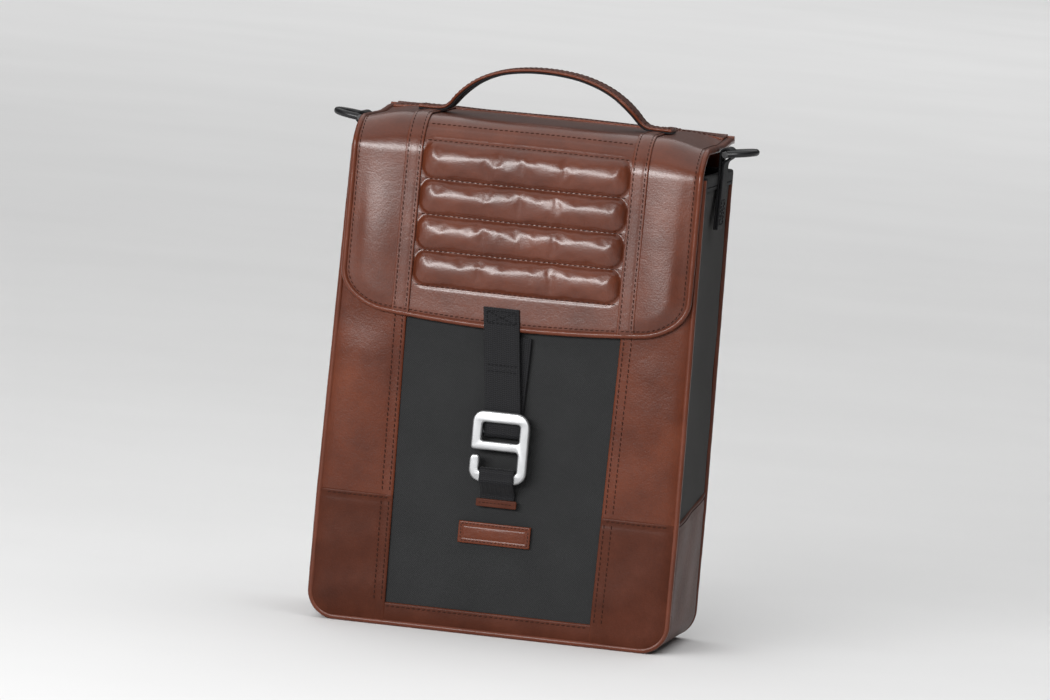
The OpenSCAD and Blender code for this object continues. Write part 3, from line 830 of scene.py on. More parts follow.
def make_lining():
    """The lining's cup: four soft walls and a floor in one sheet, open at the mouth."""
    front, back = FRONT + BOARDS_IN - 1 * MM, BACK - BOARDS_IN + 1 * MM
    corner, rows = 6 * MM, []
    floor = 6.6 * MM
    heights = np.concatenate([floor + CORNER * (1 - np.cos(np.linspace(0, math.pi / 2, 9))),
                              np.linspace(floor + CORNER, MOUTH - 1 * MM, 60)[1:]])
    for z in heights:
        half = side_x(z, 3.0 * MM)
        if z < floor + CORNER:
            half = half - CORNER + math.sqrt(max(CORNER ** 2 - (floor + CORNER - z) ** 2, 0))
        x, y = rounded_plan(half, front, back, corner, 5, 40, 20).T
        draw = hollow(y, z) * ease((np.abs(x) - half + 12 * MM) / (10 * MM))
        soft = 0.8 * ripples(x + y, z + 0 * x, 0.05, 91) * ease((MOUTH - z) / 0.03)
        inward = unit(np.stack([x, y - (front + back) / 2], 1)) * ((1 + soft) * 0.35 * MM)[:, None]
        rows.append(np.stack([x - np.sign(x) * draw - inward[:, 0], y - inward[:, 1], z + 0 * x], 1))
    middle = np.mean(rows[0], axis=0)
    inner = [middle + (rows[0] - middle) * k for k in (0.02, 0.25, 0.5, 0.75, 0.9)]
    points = np.array(inner + rows)
    piece = grid("lining_cup", points, uv_of(gone(points[:, 0]), gone(points[-1])), closed=True)
    reshape(piece.data, lambda bm: bm.faces.new(bm.verts[:points.shape[1]]))
    thicken(piece, 0.7 * MM, 1)
    return dress(settle(piece), LINING, "bag", ["lining"])


def make_mouth_binding():
    """Tape folded over the mouth's edge, all the way round."""
    plan = rounded_plan(side_x(MOUTH), FRONT, BACK, 5 * MM, 6, 60, 30)
    ahead = unit(np.roll(plan, -1, 0) - np.roll(plan, 1, 0))
    out = np.stack([ahead[:, 1], -ahead[:, 0]], 1)
    wall = np.where(np.abs(out[:, 1]) > 0.5, BOARDS_IN, 4.4 * MM)
    low = -8.0
    # the tape's section in mm: out from the wall's outer or inner face, and up from the mouth
    outer = [(0.35, low), (0.4, 0.2), (0.1, 1.5), (-0.8, 2.1)]
    inner = [(-0.8, 2.1), (-0.1, 1.5), (0.3, 0.2), (0.3, low), (-0.3, low)]
    section = [(off * MM + 0 * wall, up) for off, up in outer]
    section += [(-wall - off * MM, up) for off, up in inner]
    section += [(-0.3 * MM + 0 * wall, low)]
    points = np.stack([np.column_stack([plan + out * off[:, None], 0 * wall + MOUTH + up * MM])
                       for off, up in section], 1)
    points = np.concatenate([points, points[:1]])
    across = np.arange(points.shape[1]) * 2 * MM
    piece = grid("mouth_tape", points, uv_of(gone(points[:, 0]), across), closed=True)
    reshape(piece.data, weld)
    return dress(piece, WEB, "bag", ["mouth_binding"])


def make_shell():
    make_front_canvas()
    for side, s in SIDES:
        make_front_strip(side, s)
        make_front_boot(side, s)
        make_gusset(side, s)
        make_side_boot(side, s)
    make_front_lip()
    make_base()
    make_back_canvas()
    make_rear_boot()
    make_piping("front_cord_piping", FRONT + PIPE, 5, "front_piping")
    make_piping("rear_cord_piping", BACK - PIPE, 6, "rear_piping")
    make_lining()
    make_mouth_binding()


make_shell()


# ---------------------------------------------------------------- flap
FOLD_Y = FLAP_IN + FOLD_R
FOLD_Z = FLAP_UNDER - FOLD_R
FLAP_FRONT = FOLD_Z - FLAP_LOW                 # length of the flap's straight front
FLAP_TOP = FLAP_FRONT + FOLD_R * math.pi / 2   # length up to where the flap's top is level
FLAP_END = FLAP_TOP + FLAP_BACK - FOLD_Y
CROWN = 1.2 * MM                               # how far the flap's top swells along its middle
DROOP = 4.5 * MM                               # how far its two ends hang down
HINGE_DROOP = 0.3                              # the share of that droop at the hinge
BOW = 9 * MM                                   # how far the lower edge rises from its middle to its corners
FLAP_EDGE = 1.6 * MM                           # the binding's middle, in from the flap's edge
BAND_HALF = 6 * MM
BAND_ROW = 3.9 * MM                            # a band's rows of thread, out from its middle


def crown(x):
    """How far the flap's top swells at a place across it."""
    return CROWN * (1 - (x / FLAP_HALF) ** 2)


def near_ends(x):
    """0 along the flap's middle, and 1 at its left and right ends."""
    return ease((np.abs(x) - FLAP_HALF + 34 * MM) / (34 * MM))


def on_flap(x, s, out):
    """A place on the flap: s runs from its lower edge up and over, out is the height off its inner face."""
    s = s + BOW * (x / FLAP_HALF) ** 2 * np.clip(1 - s / (44 * MM), 0, 1) ** 2
    angle = np.clip((s - FLAP_FRONT) / FOLD_R, 0, math.pi / 2)
    y = FOLD_Y - (FOLD_R + out) * np.cos(angle) + np.maximum(s - FLAP_TOP, 0)
    z = FOLD_Z + (FOLD_R + out) * np.sin(angle) + np.minimum(s - FLAP_FRONT, 0)
    over = ease((s - FLAP_FRONT) / (0.9 * FOLD_R))
    ends = near_ends(x) * (1 - (1 - HINGE_DROOP) * ease((s - FLAP_END + 45 * MM) / (45 * MM)))
    z = z + over * (crown(x) - DROOP * ends)
    return np.stack([x + 0 * s, y + 0 * x, z + 0 * x], -1)


def flap_half(s, d=FLAP_EDGE):
    """Half width of the flap at a length, inset by d, round its lower corners too."""
    low = FLAP_CORNER - np.clip(s, d, FLAP_CORNER)
    return FLAP_HALF - FLAP_CORNER + np.sqrt(np.maximum((FLAP_CORNER - d) ** 2 - low ** 2, 0))


def flap_inset(x, s):
    """Distance in from the flap's edge."""
    x = np.abs(x)
    dx, ds = x - (FLAP_HALF - FLAP_CORNER), FLAP_CORNER - s
    return np.where((dx > 0) & (ds > 0), FLAP_CORNER - np.hypot(dx, ds), np.minimum(FLAP_HALF - x, s))


def flap_soft(x, s):
    """The flap leather's own unevenness, shared by all that is sewn to it."""
    return 0.3 * MM * ripples(x, s, 0.06, 101)


def make_flap_side(side, s):
    def put(a, b, drop):
        t = np.clip((np.abs(a) - PANEL_HALF) / (FLAP_HALF - PANEL_HALF), 0, 1)
        hang = ease((FLAP_FRONT + 15 * MM - b) / (90 * MM))
        puff = (1.2 + 2.6 * hang) * MM * swell(t) ** 1.1 * ease(flap_inset(a, b) / (16 * MM))
        puff = puff * (0.8 + 0.2 * ripples(a, 0.6 * b, 0.04, 111 + s))
        edge = 1.2 * MM * (1 - ease(flap_inset(a, b) / (6 * MM)))
        return on_flap(a, b, LEATHER_OUT + puff - edge + flap_soft(a, b))

    left, right = in_order(s, level(s * (PANEL_HALF + 1 * MM)), lambda b: s * flap_half(b))
    piece = patch("flap_" + side + "_leather", FLAP_HALF - PANEL_HALF, FLAP_END, left, right,
                  level(FLAP_EDGE), level(FLAP_END), put, step=1.9 * MM, thickness=1.6 * MM)
    return dress(piece, FLAP_BROWN, "flap", ["flap_" + side])


RIBS = [RIB_TOP - (k + 0.5) * RIB_PITCH - FLAP_LOW for k in range(4)]


def rib_depth(x, s):
    """Distance in from the edge of the nearest rib's pill-shaped outline; under zero outside every rib."""
    nearest = np.full(np.broadcast(x, s).shape, -1.0)
    half, round_end = RIB_PITCH / 2, 8.5 * MM
    for middle in RIBS:
        dx = np.abs(x) - (RIB_HALF - round_end)
        ds = np.abs(s - middle) - (half - round_end)
        outside = np.hypot(np.maximum(dx, 0), np.maximum(ds, 0)) + np.minimum(np.maximum(dx, ds), 0)
        nearest = np.maximum(nearest, round_end - outside)
    return nearest


def make_flap_center():
    def put(a, b, drop):
        depth = rib_depth(a, b)
        t = np.clip(depth / (RIB_PITCH / 2), 0, 1)
        dome = 4.6 * MM * np.sqrt(1 - (1 - t) ** 2)
        seam = 1.0 * MM * groove(np.minimum(np.abs(depth), 9 * MM), 1.1 * MM)
        edge = 1.0 * MM * (1 - ease(b / (6 * MM)))
        across = 0.7 * MM * groove(b - (CROSS_SEAM - FLAP_LOW), 1.0 * MM)
        return on_flap(a, b, LEATHER_OUT + dome - seam - edge - across + flap_soft(a, b))

    cols = np.linspace(-PANEL_HALF, PANEL_HALF, 97)
    per_rib = 16
    rib_rows = np.linspace(RIBS[-1] - RIB_PITCH / 2, RIBS[0] + RIB_PITCH / 2, 4 * per_rib + 1)
    rows = np.concatenate([np.linspace(FLAP_EDGE, rib_rows[0], 15)[:-1], rib_rows,
                           np.linspace(rib_rows[-1], FLAP_END, 72)[1:]])
    a, b = np.meshgrid(cols, rows)
    piece = grid("flap_ribbed_leather", put(a, b, 0), np.stack([a, b], -1))
    inflate(piece, (rib_depth(a, b) < 1.3 * MM).ravel())
    thicken(piece, 1.6 * MM)
    smooth = piece.modifiers.new("smooth", "SUBSURF")
    smooth.levels = smooth.render_levels = 1
    settle(piece)
    dress(piece, FLAP_BROWN, "flap", ["flap_center", "rib_pads"])


def make_band(side, s):
    """The doubled leather strap down the flap beside the ribs."""
    def put(a, b, drop):
        off = np.abs(a) - PANEL_HALF
        swelling = 0.35 * MM * (1 - (off / BAND_HALF) ** 2)
        rows = 0.45 * MM * groove(np.abs(off) - BAND_ROW, 0.7 * MM)
        edge = 1.2 * MM * (1 - ease(b / (6 * MM)))
        return on_flap(a, b, LEATHER_OUT + 1.5 * MM + swelling - rows - drop - edge + flap_soft(a, b))

    piece = patch(side + "_flap_band", 2 * BAND_HALF, FLAP_END, level(s * PANEL_HALF - BAND_HALF),
                  level(s * PANEL_HALF + BAND_HALF), level(FLAP_EDGE), level(FLAP_END), put, "lr",
                  r=0.8 * MM, thickness=1.4 * MM, step=1.5 * MM)
    return dress(piece, FLAP_BROWN, "flap", [side + "_band"])


def flap_edge_line(d):
    """The flap's edge as (x, s) pairs, from the hinge down one side, along the bottom and up the other."""
    down = np.linspace(FLAP_END, FLAP_CORNER, 90)
    left = np.stack([np.full_like(down, -FLAP_HALF + d), down], 1)
    first = arc(-FLAP_HALF + FLAP_CORNER, FLAP_CORNER, FLAP_CORNER - d, 180, 270, 18)
    along = between((-FLAP_HALF + FLAP_CORNER, d), (FLAP_HALF - FLAP_CORNER, d), 60)
    half = np.concatenate([left[:-1], first, along[:30]])
    return np.concatenate([half, half[::-1] * [-1, 1]])


def make_flap_binding():
    line = flap_edge_line(FLAP_EDGE)
    x, s = line[:, 0], line[:, 1]
    path = on_flap(x, s, 2.3 * MM + 0.6 * flap_soft(x, s))
    up = unit(on_flap(x, s, 4 * MM) - on_flap(x, s, 0 * x))
    side = np.cross(unit(np.gradient(path, axis=0)), up)
    angles = np.linspace(0, TAU, 14, endpoint=False)
    uneven = 1 + 0.05 * ripples(x, s, 12 * MM, 7)
    points = np.stack([path + up * (2.5 * MM * math.cos(t) * uneven)[:, None]
                       + side * (2.1 * MM * math.sin(t) * uneven)[:, None] for t in angles], 1)
    piece = grid("flap_rolled_edge", points, uv_of(gone(path), angles * 2 * MM), closed=True)
    cap_ends(piece, len(path), len(angles))
    return dress(piece, TRIM, "flap", ["flap_binding"])


def make_flap_lining():
    def put(a, b, drop):
        return on_flap(a, b, 1.0 * MM + 0.2 * MM * ripples(a, b, 0.06, 121))

    piece = patch("flap_cloth_lining", 2 * FLAP_HALF, FLAP_END, lambda b: -flap_half(b), flap_half,
                  level(FLAP_EDGE), level(FLAP_END), put, thickness=0.8 * MM, step=3 * MM)
    return dress(piece, LINING, "flap", ["flap_lining"])


make_flap_center()
for side, s in SIDES:
    make_flap_side(side, s)
    make_band(side, s)
make_flap_binding()
make_flap_lining()

# ---------------------------------------------------------------- lines for thread and straps


def round_corners(points, radii, n=6):
    """A closed polygon with each corner turned to an arc of its own radius."""
    points, result = np.asarray(points, float), []
    radii = np.broadcast_to(radii, len(points))
    for k, corner in enumerate(points):
        before, after = points[k - 1] - corner, points[(k + 1) % len(points)] - corner
        before, after = before / np.linalg.norm(before), after / np.linalg.norm(after)
        if radii[k] < 0.01 * MM:
            result.append(corner)
            continue
        half = math.acos(np.clip(before @ after, -1, 1)) / 2
        reach = radii[k] / math.tan(half)
        middle = before + after
        center = corner + middle / np.linalg.norm(middle) * radii[k] / math.sin(half)
        a, b = corner + before * reach - center, corner + after * reach - center
        turn = math.atan2(a[0] * b[1] - a[1] * b[0], a @ b)
        for t in np.linspace(0, turn, n + 1):
            c, d = math.cos(t), math.sin(t)
            result.append(center + [a[0] * c - a[1] * d, a[0] * d + a[1] * c])
    return np.array(result)


def smooth_path(points, step=1.5 * MM):
    """A smooth curve through points, at even steps."""
    p = np.asarray(points, float)
    p = np.concatenate([[2 * p[0] - p[1]], p, [2 * p[-1] - p[-2]]])
    dense = []
    for k in range(1, len(p) - 2):
        for t in np.linspace(0, 1, 24, endpoint=False):
            a, b, c, d = p[k - 1], p[k], p[k + 1], p[k + 2]
            dense.append(0.5 * (2 * b + (c - a) * t + (2 * a - 5 * b + 4 * c - d) * t * t
                                + (3 * b - a - 3 * c + d) * t ** 3))
    dense = np.array(dense + [p[-2]])
    run = gone(dense)
    return at_length(np.linspace(0, run[-1], max(3, int(run[-1] / step) + 1)), run, dense)


def landed(points, toward, objects, reach=12 * MM):
    """Drops points onto pieces along a direction. Gives (places, outward normals) of those that land."""
    graph = bpy.context.evaluated_depsgraph_get()
    trees = [BVHTree.FromObject(obj, graph) for obj in objects]
    toward = np.broadcast_to(np.asarray(toward, float), np.shape(points))
    places, normals = [], []
    for point, way in zip(points, toward):
        way = Vector(way).normalized()
        start = Vector(point) - way * reach
        hits = [t.ray_cast(start, way, 2 * reach) for t in trees]
        hits = [h for h in hits if h[0] is not None]
        if hits:
            where, normal, _, _ = min(hits, key=lambda h: h[3])
            places.append(tuple(where))
            normals.append(tuple(-normal if normal.dot(way) > 0 else normal))
    return np.array(places), np.array(normals)


def sewn(name, lines, toward, objects, mat, body, **look):
    """Thread on lines that are dropped onto pieces. Each line is points, or (points, its own direction)."""
    rows = []
    for line in lines:
        points, way = line if isinstance(line, tuple) else (line, toward)
        places, normals = landed(points, way, objects)
        if len(places) > 1:
            rows.append((places, normals))
    piece = stitches(name, rows, **look)
    return dress(piece, mat, body)


# ---------------------------------------------------------------- thread on the shell
EDGE_ROW = 2.6 * MM                            # a row of thread in from a folded edge
SMALL_STITCH = {"pitch": 2.6 * MM, "long": 2.0 * MM}


def crosswise(half, y, z):
    """A level line from left to right."""
    return straight((-half, y, z), (half, y, z))


def stitch_shell():
    front, sides = [], []
    for s in (-1, 1):
        for low, high in ((BOOT + 2 * MM, MOUTH - 10 * MM), (LIP + 1 * MM, BOOT - 2 * MM)):
            z = np.arange(low, high, 3 * MM)
            for row in (EDGE_ROW, EDGE_ROW + 5.2 * MM):
                front.append(np.stack([s * (canvas_x(z) + row), 0 * z + FRONT, z], 1))
        front.append(straight((s * (CANVAS_LOW + 4 * MM), FRONT, BOOT - EDGE_ROW),
                              (s * (BASE_HALF - 7 * MM), FRONT, BOOT - EDGE_ROW)))
        y = np.arange(FRONT + 7 * MM, BACK - 7 * MM, 2 * MM)
        sides.append((np.stack([0 * y + s * BASE_HALF, y, seam_z(y) - EDGE_ROW], 1), (-s, 0, 0)))
    front.append(crosswise(CANVAS_LOW, FRONT, LIP - EDGE_ROW))
    back = [crosswise(BASE_HALF - 7 * MM, BACK, REAR_BOOT - EDGE_ROW)]
    leather_front = pieces("left_strip", "right_strip", "left_boot_corner", "right_boot_corner",
                           "front_lip_sewn")
    sewn("front_thread", front, (0, 1, 0), leather_front, BROWN_THREAD, "bag")
    sewn("side_thread", sides, None, pieces("left_boot_wall", "right_boot_wall"), BROWN_THREAD, "bag")
    sewn("back_thread", back, (0, -1, 0), pieces("rear_boot_skin"), BROWN_THREAD, "bag")
    z = MOUTH - 5.6 * MM
    tape = [(crosswise(TOP_HALF - 6 * MM, y, z), (0, way, 0)) for y, way in ((FRONT, 1), (BACK, -1))]
    tape += [(straight((s * TOP_HALF, FRONT + 6 * MM, z), (s * TOP_HALF, BACK - 6 * MM, z)), (-s, 0, 0))
             for s in (-1, 1)]
    sewn("mouth_thread", tape, None, pieces("mouth_tape"), BLACK_THREAD, "bag")


stitch_shell()

# ---------------------------------------------------------------- thread on the flap


def flap_line_points(x, s, out=8 * MM):
    """Points just off the flap, and the way in to it, for dropping thread."""
    x, s = np.broadcast_arrays(np.asarray(x, float), np.asarray(s, float))
    high, low = on_flap(x, s, out), on_flap(x, s, 0.0)
    return high, (low - high) / out


def stitch_flap():
    leathers = pieces("flap_left_leather", "flap_right_leather", "flap_ribbed_leather", "left_flap_band",
                      "right_flap_band")
    rows = [flap_line_points(*flap_edge_line(FLAP_EDGE + 3.4 * MM).T)]
    s = np.arange(6 * MM, FLAP_END - 2 * MM, 3 * MM)
    for side in (-1, 1):
        for off in (-BAND_ROW, BAND_ROW):
            rows.append(flap_line_points(side * PANEL_HALF + off, s))
    x = np.arange(-PANEL_HALF + 8 * MM, PANEL_HALF - 7 * MM, 2 * MM)
    for k in range(5):
        rows.append(flap_line_points(x, RIBS[0] + RIB_PITCH * (0.5 - k)))
    rows.append(flap_line_points(x, CROSS_SEAM - FLAP_LOW + 2.2 * MM))
    sewn("flap_thread", rows, None, leathers, BROWN_THREAD, "flap", r=0.36 * MM)


stitch_flap()

# ---------------------------------------------------------------- hinge, rings' tabs, label and loop
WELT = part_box("flap_welt")
WELT_Y = (WELT[0].y + WELT[1].y) / 2
WELT_Z = (WELT[0].z + WELT[1].z) / 2


def make_hinge():
    """Leather sewn to the back that passes over the welt and down onto the flap."""
    low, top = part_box("hinge_strip")[0].z, FLAP_UNDER + LEATHER_OUT
    profile = [(BACK + 0.5 * MM, low), (BACK + 1.3 * MM, low + 3 * MM), (BACK + 1.4 * MM, WELT_Z - 8 * MM)]
    profile += [tuple(p) for p in arc(WELT_Y, WELT_Z, 3.7 * MM, -20, 100, 8)]
    profile += [(WELT_Y - 9 * MM, top + 1.2 * MM), (WELT_Y - 16 * MM, top + 0.9 * MM),
                (WELT_Y - 18 * MM, top + 0.4 * MM)]
    path = upright(smooth_path(profile, 1.6 * MM))
    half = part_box("hinge_strip")[1].x - 2 * MM
    a, b = np.meshgrid(spaced(2 * half, 4 * MM, 3 * MM) - half, gone(path))
    soft = 0.25 * MM * ripples(a, b, 0.05, 131)
    points = path[:, None, :] + facing(path, (1, 0, 0))[:, None, :] * soft[..., None]
    points[..., 0] = -a
    on_top = ease((WELT_Y + 2 * MM - points[..., 1]) / (9 * MM))
    points[..., 2] += (crown(a) - HINGE_DROOP * DROOP * near_ends(a)) * on_top
    piece = grid("hinge_leather", points, np.stack([a, b], -1))
    thicken(piece, 1.2 * MM)
    dress(settle(piece), BROWN, None, ["hinge_strip"])
    rows = [crosswise(half - 4 * MM, BACK, z) for z in (low + 4 * MM, low + 9 * MM)]
    sewn("hinge_thread", rows, (0, -1, 0), [piece], BROWN_THREAD, "bag")
    top_row = crosswise(half - 4 * MM, WELT_Y - 14.5 * MM, top)
    sewn("hinge_top_thread", [top_row], (0, 0, -1), [piece], BROWN_THREAD, "flap")
    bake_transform(piece)


def make_ring_tab(side, s):
    """Webbing folded round the ring's bar, its two layers sewn down the side wall."""
    tab_low, tab_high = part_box(side + "_ring_tab")
    bar = frame_joint(side + "_ring_swing")
    bar_x, bar_z = abs(bar.x), bar.z
    r = 3.8 * MM                               # of the fold, in the middle of the webbing
    low = tab_low.z
    face = float(side_x(low + 20 * MM)) + 0.4 * MM
    inner = [(face, low), (face + 0.2 * MM, low + 20 * MM), (bar_x - r, bar_z - 6 * MM)]
    bend = [tuple(p) for p in arc(bar_x, bar_z, r, 180, -55, 12)]
    outer = [(bar_x - 1.2 * MM, bar_z - 6.8 * MM), (face + 2.2 * MM, bar_z - 17 * MM),
             (face + 1.9 * MM, low + 10 * MM), (face + 1.7 * MM, low)]
    x, z = smooth_path(inner + bend + outer, 1.2 * MM).T
    y = (tab_low.y + tab_high.y) / 2
    path = np.stack([s * x, 0 * x + y, z], 1)
    piece = strap(side + "_ring_webbing", path, (0, s, 0), (tab_high.y - tab_low.y) / 2, STRAP_THICK)
    dress(piece, WEB, "bag", [side + "_ring_tab"])
    box = boxed(y - 7.5 * MM, low + 3.5 * MM, y + 7.5 * MM, low + 20 * MM)
    rows = [upright(line, s * (bar_x + 2 * MM)) for line in box]
    sewn(side + "_ring_thread", rows, (-s, 0, 0), [piece], BLACK_THREAD, "bag", pitch=3 * MM, long=2.3 * MM)


def facing_front(line, y):
    """A line of (x, z) places as 3-D points at one depth."""
    return np.stack([line[:, 0], y + 0 * line[:, 0], line[:, 1]], 1)


def boxed(x0, z0, x1, z1):
    """The lines of a crossed box stitch."""
    corners = [(x0, z0), (x1, z0), (x1, z1), (x0, z1)]
    sides = [straight(corners[k], corners[(k + 1) % 4], 1.5 * MM) for k in range(4)]
    return sides + [straight(corners[0], corners[2], 1.5 * MM), straight(corners[1], corners[3], 1.5 * MM)]


def frame_joint(name):
    """Where a joint of the frame turns."""
    joint = next(j for j in frame["joints"] if j["name"] == name)
    return Vector(joint["pos_m"])


def bevelled(name, outline, holes, y0, y1, r):
    """A plate with rounded edges, from a drawing of x and z, between two depths."""
    curve = bpy.data.curves.new(name, "CURVE")
    curve.dimensions = "2D"
    curve.fill_mode = "BOTH"
    curve.extrude = (y1 - y0) / 2 - r
    curve.bevel_depth = r
    curve.bevel_resolution = 4
    curve.offset = -r
    for line in [outline] + holes:
        spline = curve.splines.new("POLY")
        spline.points.add(len(line) - 1)
        spline.use_cyclic_u = True
        for point, (x, z) in zip(spline.points, line):
            point.co = (x, z, 0, 1)
    flat = add(name, curve)
    graph = bpy.context.evaluated_depsgraph_get()
    mesh = bpy.data.meshes.new_from_object(flat.evaluated_get(graph))
    bpy.data.objects.remove(flat)

    def stand_up(bm):
        weld(bm, 0.005 * MM)
        for v in bm.verts:
            v.co = Vector((v.co.x, (y0 + y1) / 2 - v.co.z, v.co.y))

    reshape(mesh, stand_up)
    mesh.shade_smooth()
    obj = add(name, mesh)
    split_edges(obj, 50)
    return obj


def split_edges(obj, degrees):
    """Shades a piece smooth but for its edges sharper than an angle."""
    split = obj.modifiers.new("shading", "EDGE_SPLIT")
    split.split_angle = math.radians(degrees)


def rounded_box(x0, z0, x1, z1, r):
    return round_corners([(x0, z0), (x1, z0), (x1, z1), (x0, z1)], r)


def make_label():
    """A leather patch with a pressed border and a soft raised oval."""
    low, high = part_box("label_patch")
    half, tall, mid_z = (high.x - low.x) / 2, (high.z - low.z) / 2, (high.z + low.z) / 2

    def put(a, b, drop):
        dx, dz = half - np.abs(a), tall - np.abs(b - mid_z)
        border = 0.22 * MM * groove(np.minimum(dx, dz) - 3.4 * MM, 0.5 * MM)
        oval = np.hypot(a / (17 * MM), (b - mid_z) / (3.2 * MM))
        mark = -0.12 * MM * (1 - ease((oval - 0.6) / 0.5))
        corner = np.hypot(np.maximum(2 * MM - dx, 0), np.maximum(2 * MM - dz, 0))
        sunk = 0.9 * MM * (corner > 2 * MM)
        return np.stack([a, low.y - 0.2 * MM + drop + border + mark + sunk, b], -1)

    piece = patch("label", 2 * half, 2 * tall, level(-half), level(half), level(low.z), level(high.z), put,
                  "lrtb", r=0.7 * MM, step=0.45 * MM)
    dress(piece, BROWN, "bag", ["label_patch"])
    e = 1.7 * MM
    around = boxed(-half + e, low.z + e, half - e, high.z - e)[:4]
    sewn("label_thread", [facing_front(line, low.y) for line in around], (0, 1, 0), [piece], BROWN_THREAD,
         "bag", r=0.3 * MM, **SMALL_STITCH)


def make_hook_loop():
    """Webbing sewn to the canvas that comes up through the hook and turns down over its lower bar."""
    hook_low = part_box("hook_frame")[0]
    front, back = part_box("hook_loop")[0].y, hook_low.y + 4.2 * MM
    bar_top, low = hook_low.z + 7.5 * MM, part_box("hook_loop")[0].z
    w = WEBBING / 2
    sewn_y = FRONT - 0.2 * MM
    knee = hook_low.z - 0.4 * MM
    up = [(sewn_y - w, low), (sewn_y - w, low + 6 * MM), (back + 0.4 * MM + w, knee + 1 * MM),
          (back + 0.4 * MM + w, bar_top - 1 * MM)]
    over = [tuple(p) for p in arc(back - 1.2 * MM, bar_top - 0.2 * MM, 2.2 * MM, 20, 90, 3)]
    over += [tuple(p) for p in arc(front + w + 1.6 * MM, bar_top - 0.2 * MM, 2.2 * MM, 90, 165, 3)]
    down = [(front + w, bar_top - 3 * MM), (front + w, knee + 1 * MM),
            (sewn_y - 3 * w - 1.4 * MM, knee - 6.5 * MM), (sewn_y - 3 * w, low + 4 * MM),
            (sewn_y - 3 * w, low)]
    path = upright(smooth_path(up + over + down, 1.1 * MM))
    piece = strap("hook_loop_webbing", path, (1, 0, 0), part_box("hook_loop")[1].x, STRAP_THICK)
    dress(piece, WEB, "bag", ["hook_loop"])
    low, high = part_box("loop_anchor")
    bar = bevelled("loop_anchor_leather", rounded_box(low.x, low.z, high.x, high.z, 1.0 * MM), [], low.y,
                   high.y + 0.6 * MM, 0.5 * MM)
    dress(bar, DARK_BROWN, "bag", ["loop_anchor"])
    row = crosswise(high.x - 1.5 * MM, low.y, (low.z + high.z) / 2)
    sewn("anchor_thread", [row], (0, 1, 0), [bar], BROWN_THREAD, "bag", r=0.3 * MM, **SMALL_STITCH)


make_hinge()
for side, s in SIDES:
    make_ring_tab(side, s)
make_label()
make_hook_loop()

# ---------------------------------------------------------------- handle
HANDLE_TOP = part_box("handle_leather")[1].z
HANDLE_Y = (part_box("handle_leather")[0].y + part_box("handle_leather")[1].y) / 2
HANDLE_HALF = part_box("handle_leather")[1].y - HANDLE_Y
HANDLE_FLAT = HANDLE_TOP - 32 * MM             # where its flat ends lie on the flap


def handle_path(inward):
    """The handle's line: flat on the flap, then up and over, at a depth in from its outer face."""
    half = [(-88, 0), (-82, 0), (-76, 0.1), (-71, 0.8), (-67, 3.6), (-62.5, 8.8), (-56, 15), (-48, 20.8),
            (-38, 25.7), (-26, 29.4), (-13, 31.4), (0, 32)]
    points = np.array(half + [(-x, z) for x, z in half[::-1][1:]]) * MM
    points[:, 0] -= 0.1 * points[:, 1]         # the arch leans a little to the left
    points[:, 1] += HANDLE_FLAT
    line = smooth_path(points, 1.6 * MM)
    ahead = unit(np.gradient(line, axis=0))
    return facing_front(line + np.stack([ahead[:, 1], -ahead[:, 0]], 1) * inward, HANDLE_Y)


def handle_width(path, less=0.0):
    """Half width along the handle: drawn in above the tabs, and a little narrower in the grip."""
    z = path[:, 2] - HANDLE_FLAT
    drawn_in = 1.8 * MM * groove(z - 2 * MM, 6 * MM)
    return np.where(z > 16 * MM, HANDLE_HALF - 0.6 * MM, HANDLE_HALF - drawn_in) - less


def make_handle():
    outer, inner = handle_path(0.95 * MM), handle_path(2.6 * MM)
    half = handle_width(outer)
    leather_top = strap("handle_top_leather", outer, (0, 1, 0), half, 1.9 * MM, 0.5 * MM, 0.25 * MM)
    dress(leather_top, BROWN, None, ["handle_leather", "handle_tabs"])
    rows = [landed(outer + np.outer(s * (half - EDGE_ROW), (0, 1, 0)), -facing(outer, (0, 1, 0)),
                   [leather_top], 4 * MM) for s in (-1, 1)]
    z = HANDLE_FLAT - 1 * MM
    for x, reach in ((85.5 * MM, 9 * MM), (69 * MM, 8 * MM)):
        for s in (-1, 1):
            line = straight((s * x, HANDLE_Y - reach, z), (s * x, HANDLE_Y + reach, z))
            rows.append(landed(line, (0, 0, -1), [leather_top]))
    rows_of_thread = stitches("handle_thread", rows, r=0.36 * MM)
    dress(rows_of_thread, BROWN_THREAD, None)
    under = strap("handle_under_webbing", inner, (0, 1, 0), handle_width(inner, 0.8 * MM), 1.5 * MM, 0.0,
                  0.25 * MM)
    dress(under, WEB, None, ["handle_webbing", "handle_core"])
    for piece in (rows_of_thread, leather_top, under):
        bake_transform(piece)


make_handle()

# ---------------------------------------------------------------- closure strap and hook
STRAP_Y = (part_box("strap_end")[0].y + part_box("strap_end")[1].y) / 2
STRAP_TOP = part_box("strap_end")[1].z
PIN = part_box("hook_pin")
PIN_Y = (PIN[0].y + PIN[1].y) / 2
PIN_Z = (PIN[0].z + PIN[1].z) / 2
TAIL_Y = 2 * PIN_Y - STRAP_Y
STRAP_AXIS = frame_joint("strap_swing").z
STRAP_JOIN = 184 * MM                          # where the two strap pieces butt under a bar of thread
TAIL_TOP = STRAP_AXIS - 2 * MM


def strap_lean(z):
    """The strap hangs a little to the left at its top end."""
    return -8 * MM * np.clip((z - PIN_Z - 8 * MM) / (STRAP_TOP - PIN_Z - 8 * MM), 0, 1)


def on_strap(x, z):
    """A place in the strap's front layer."""
    return np.stack([x + strap_lean(z), 0 * z + STRAP_Y, z], 1)


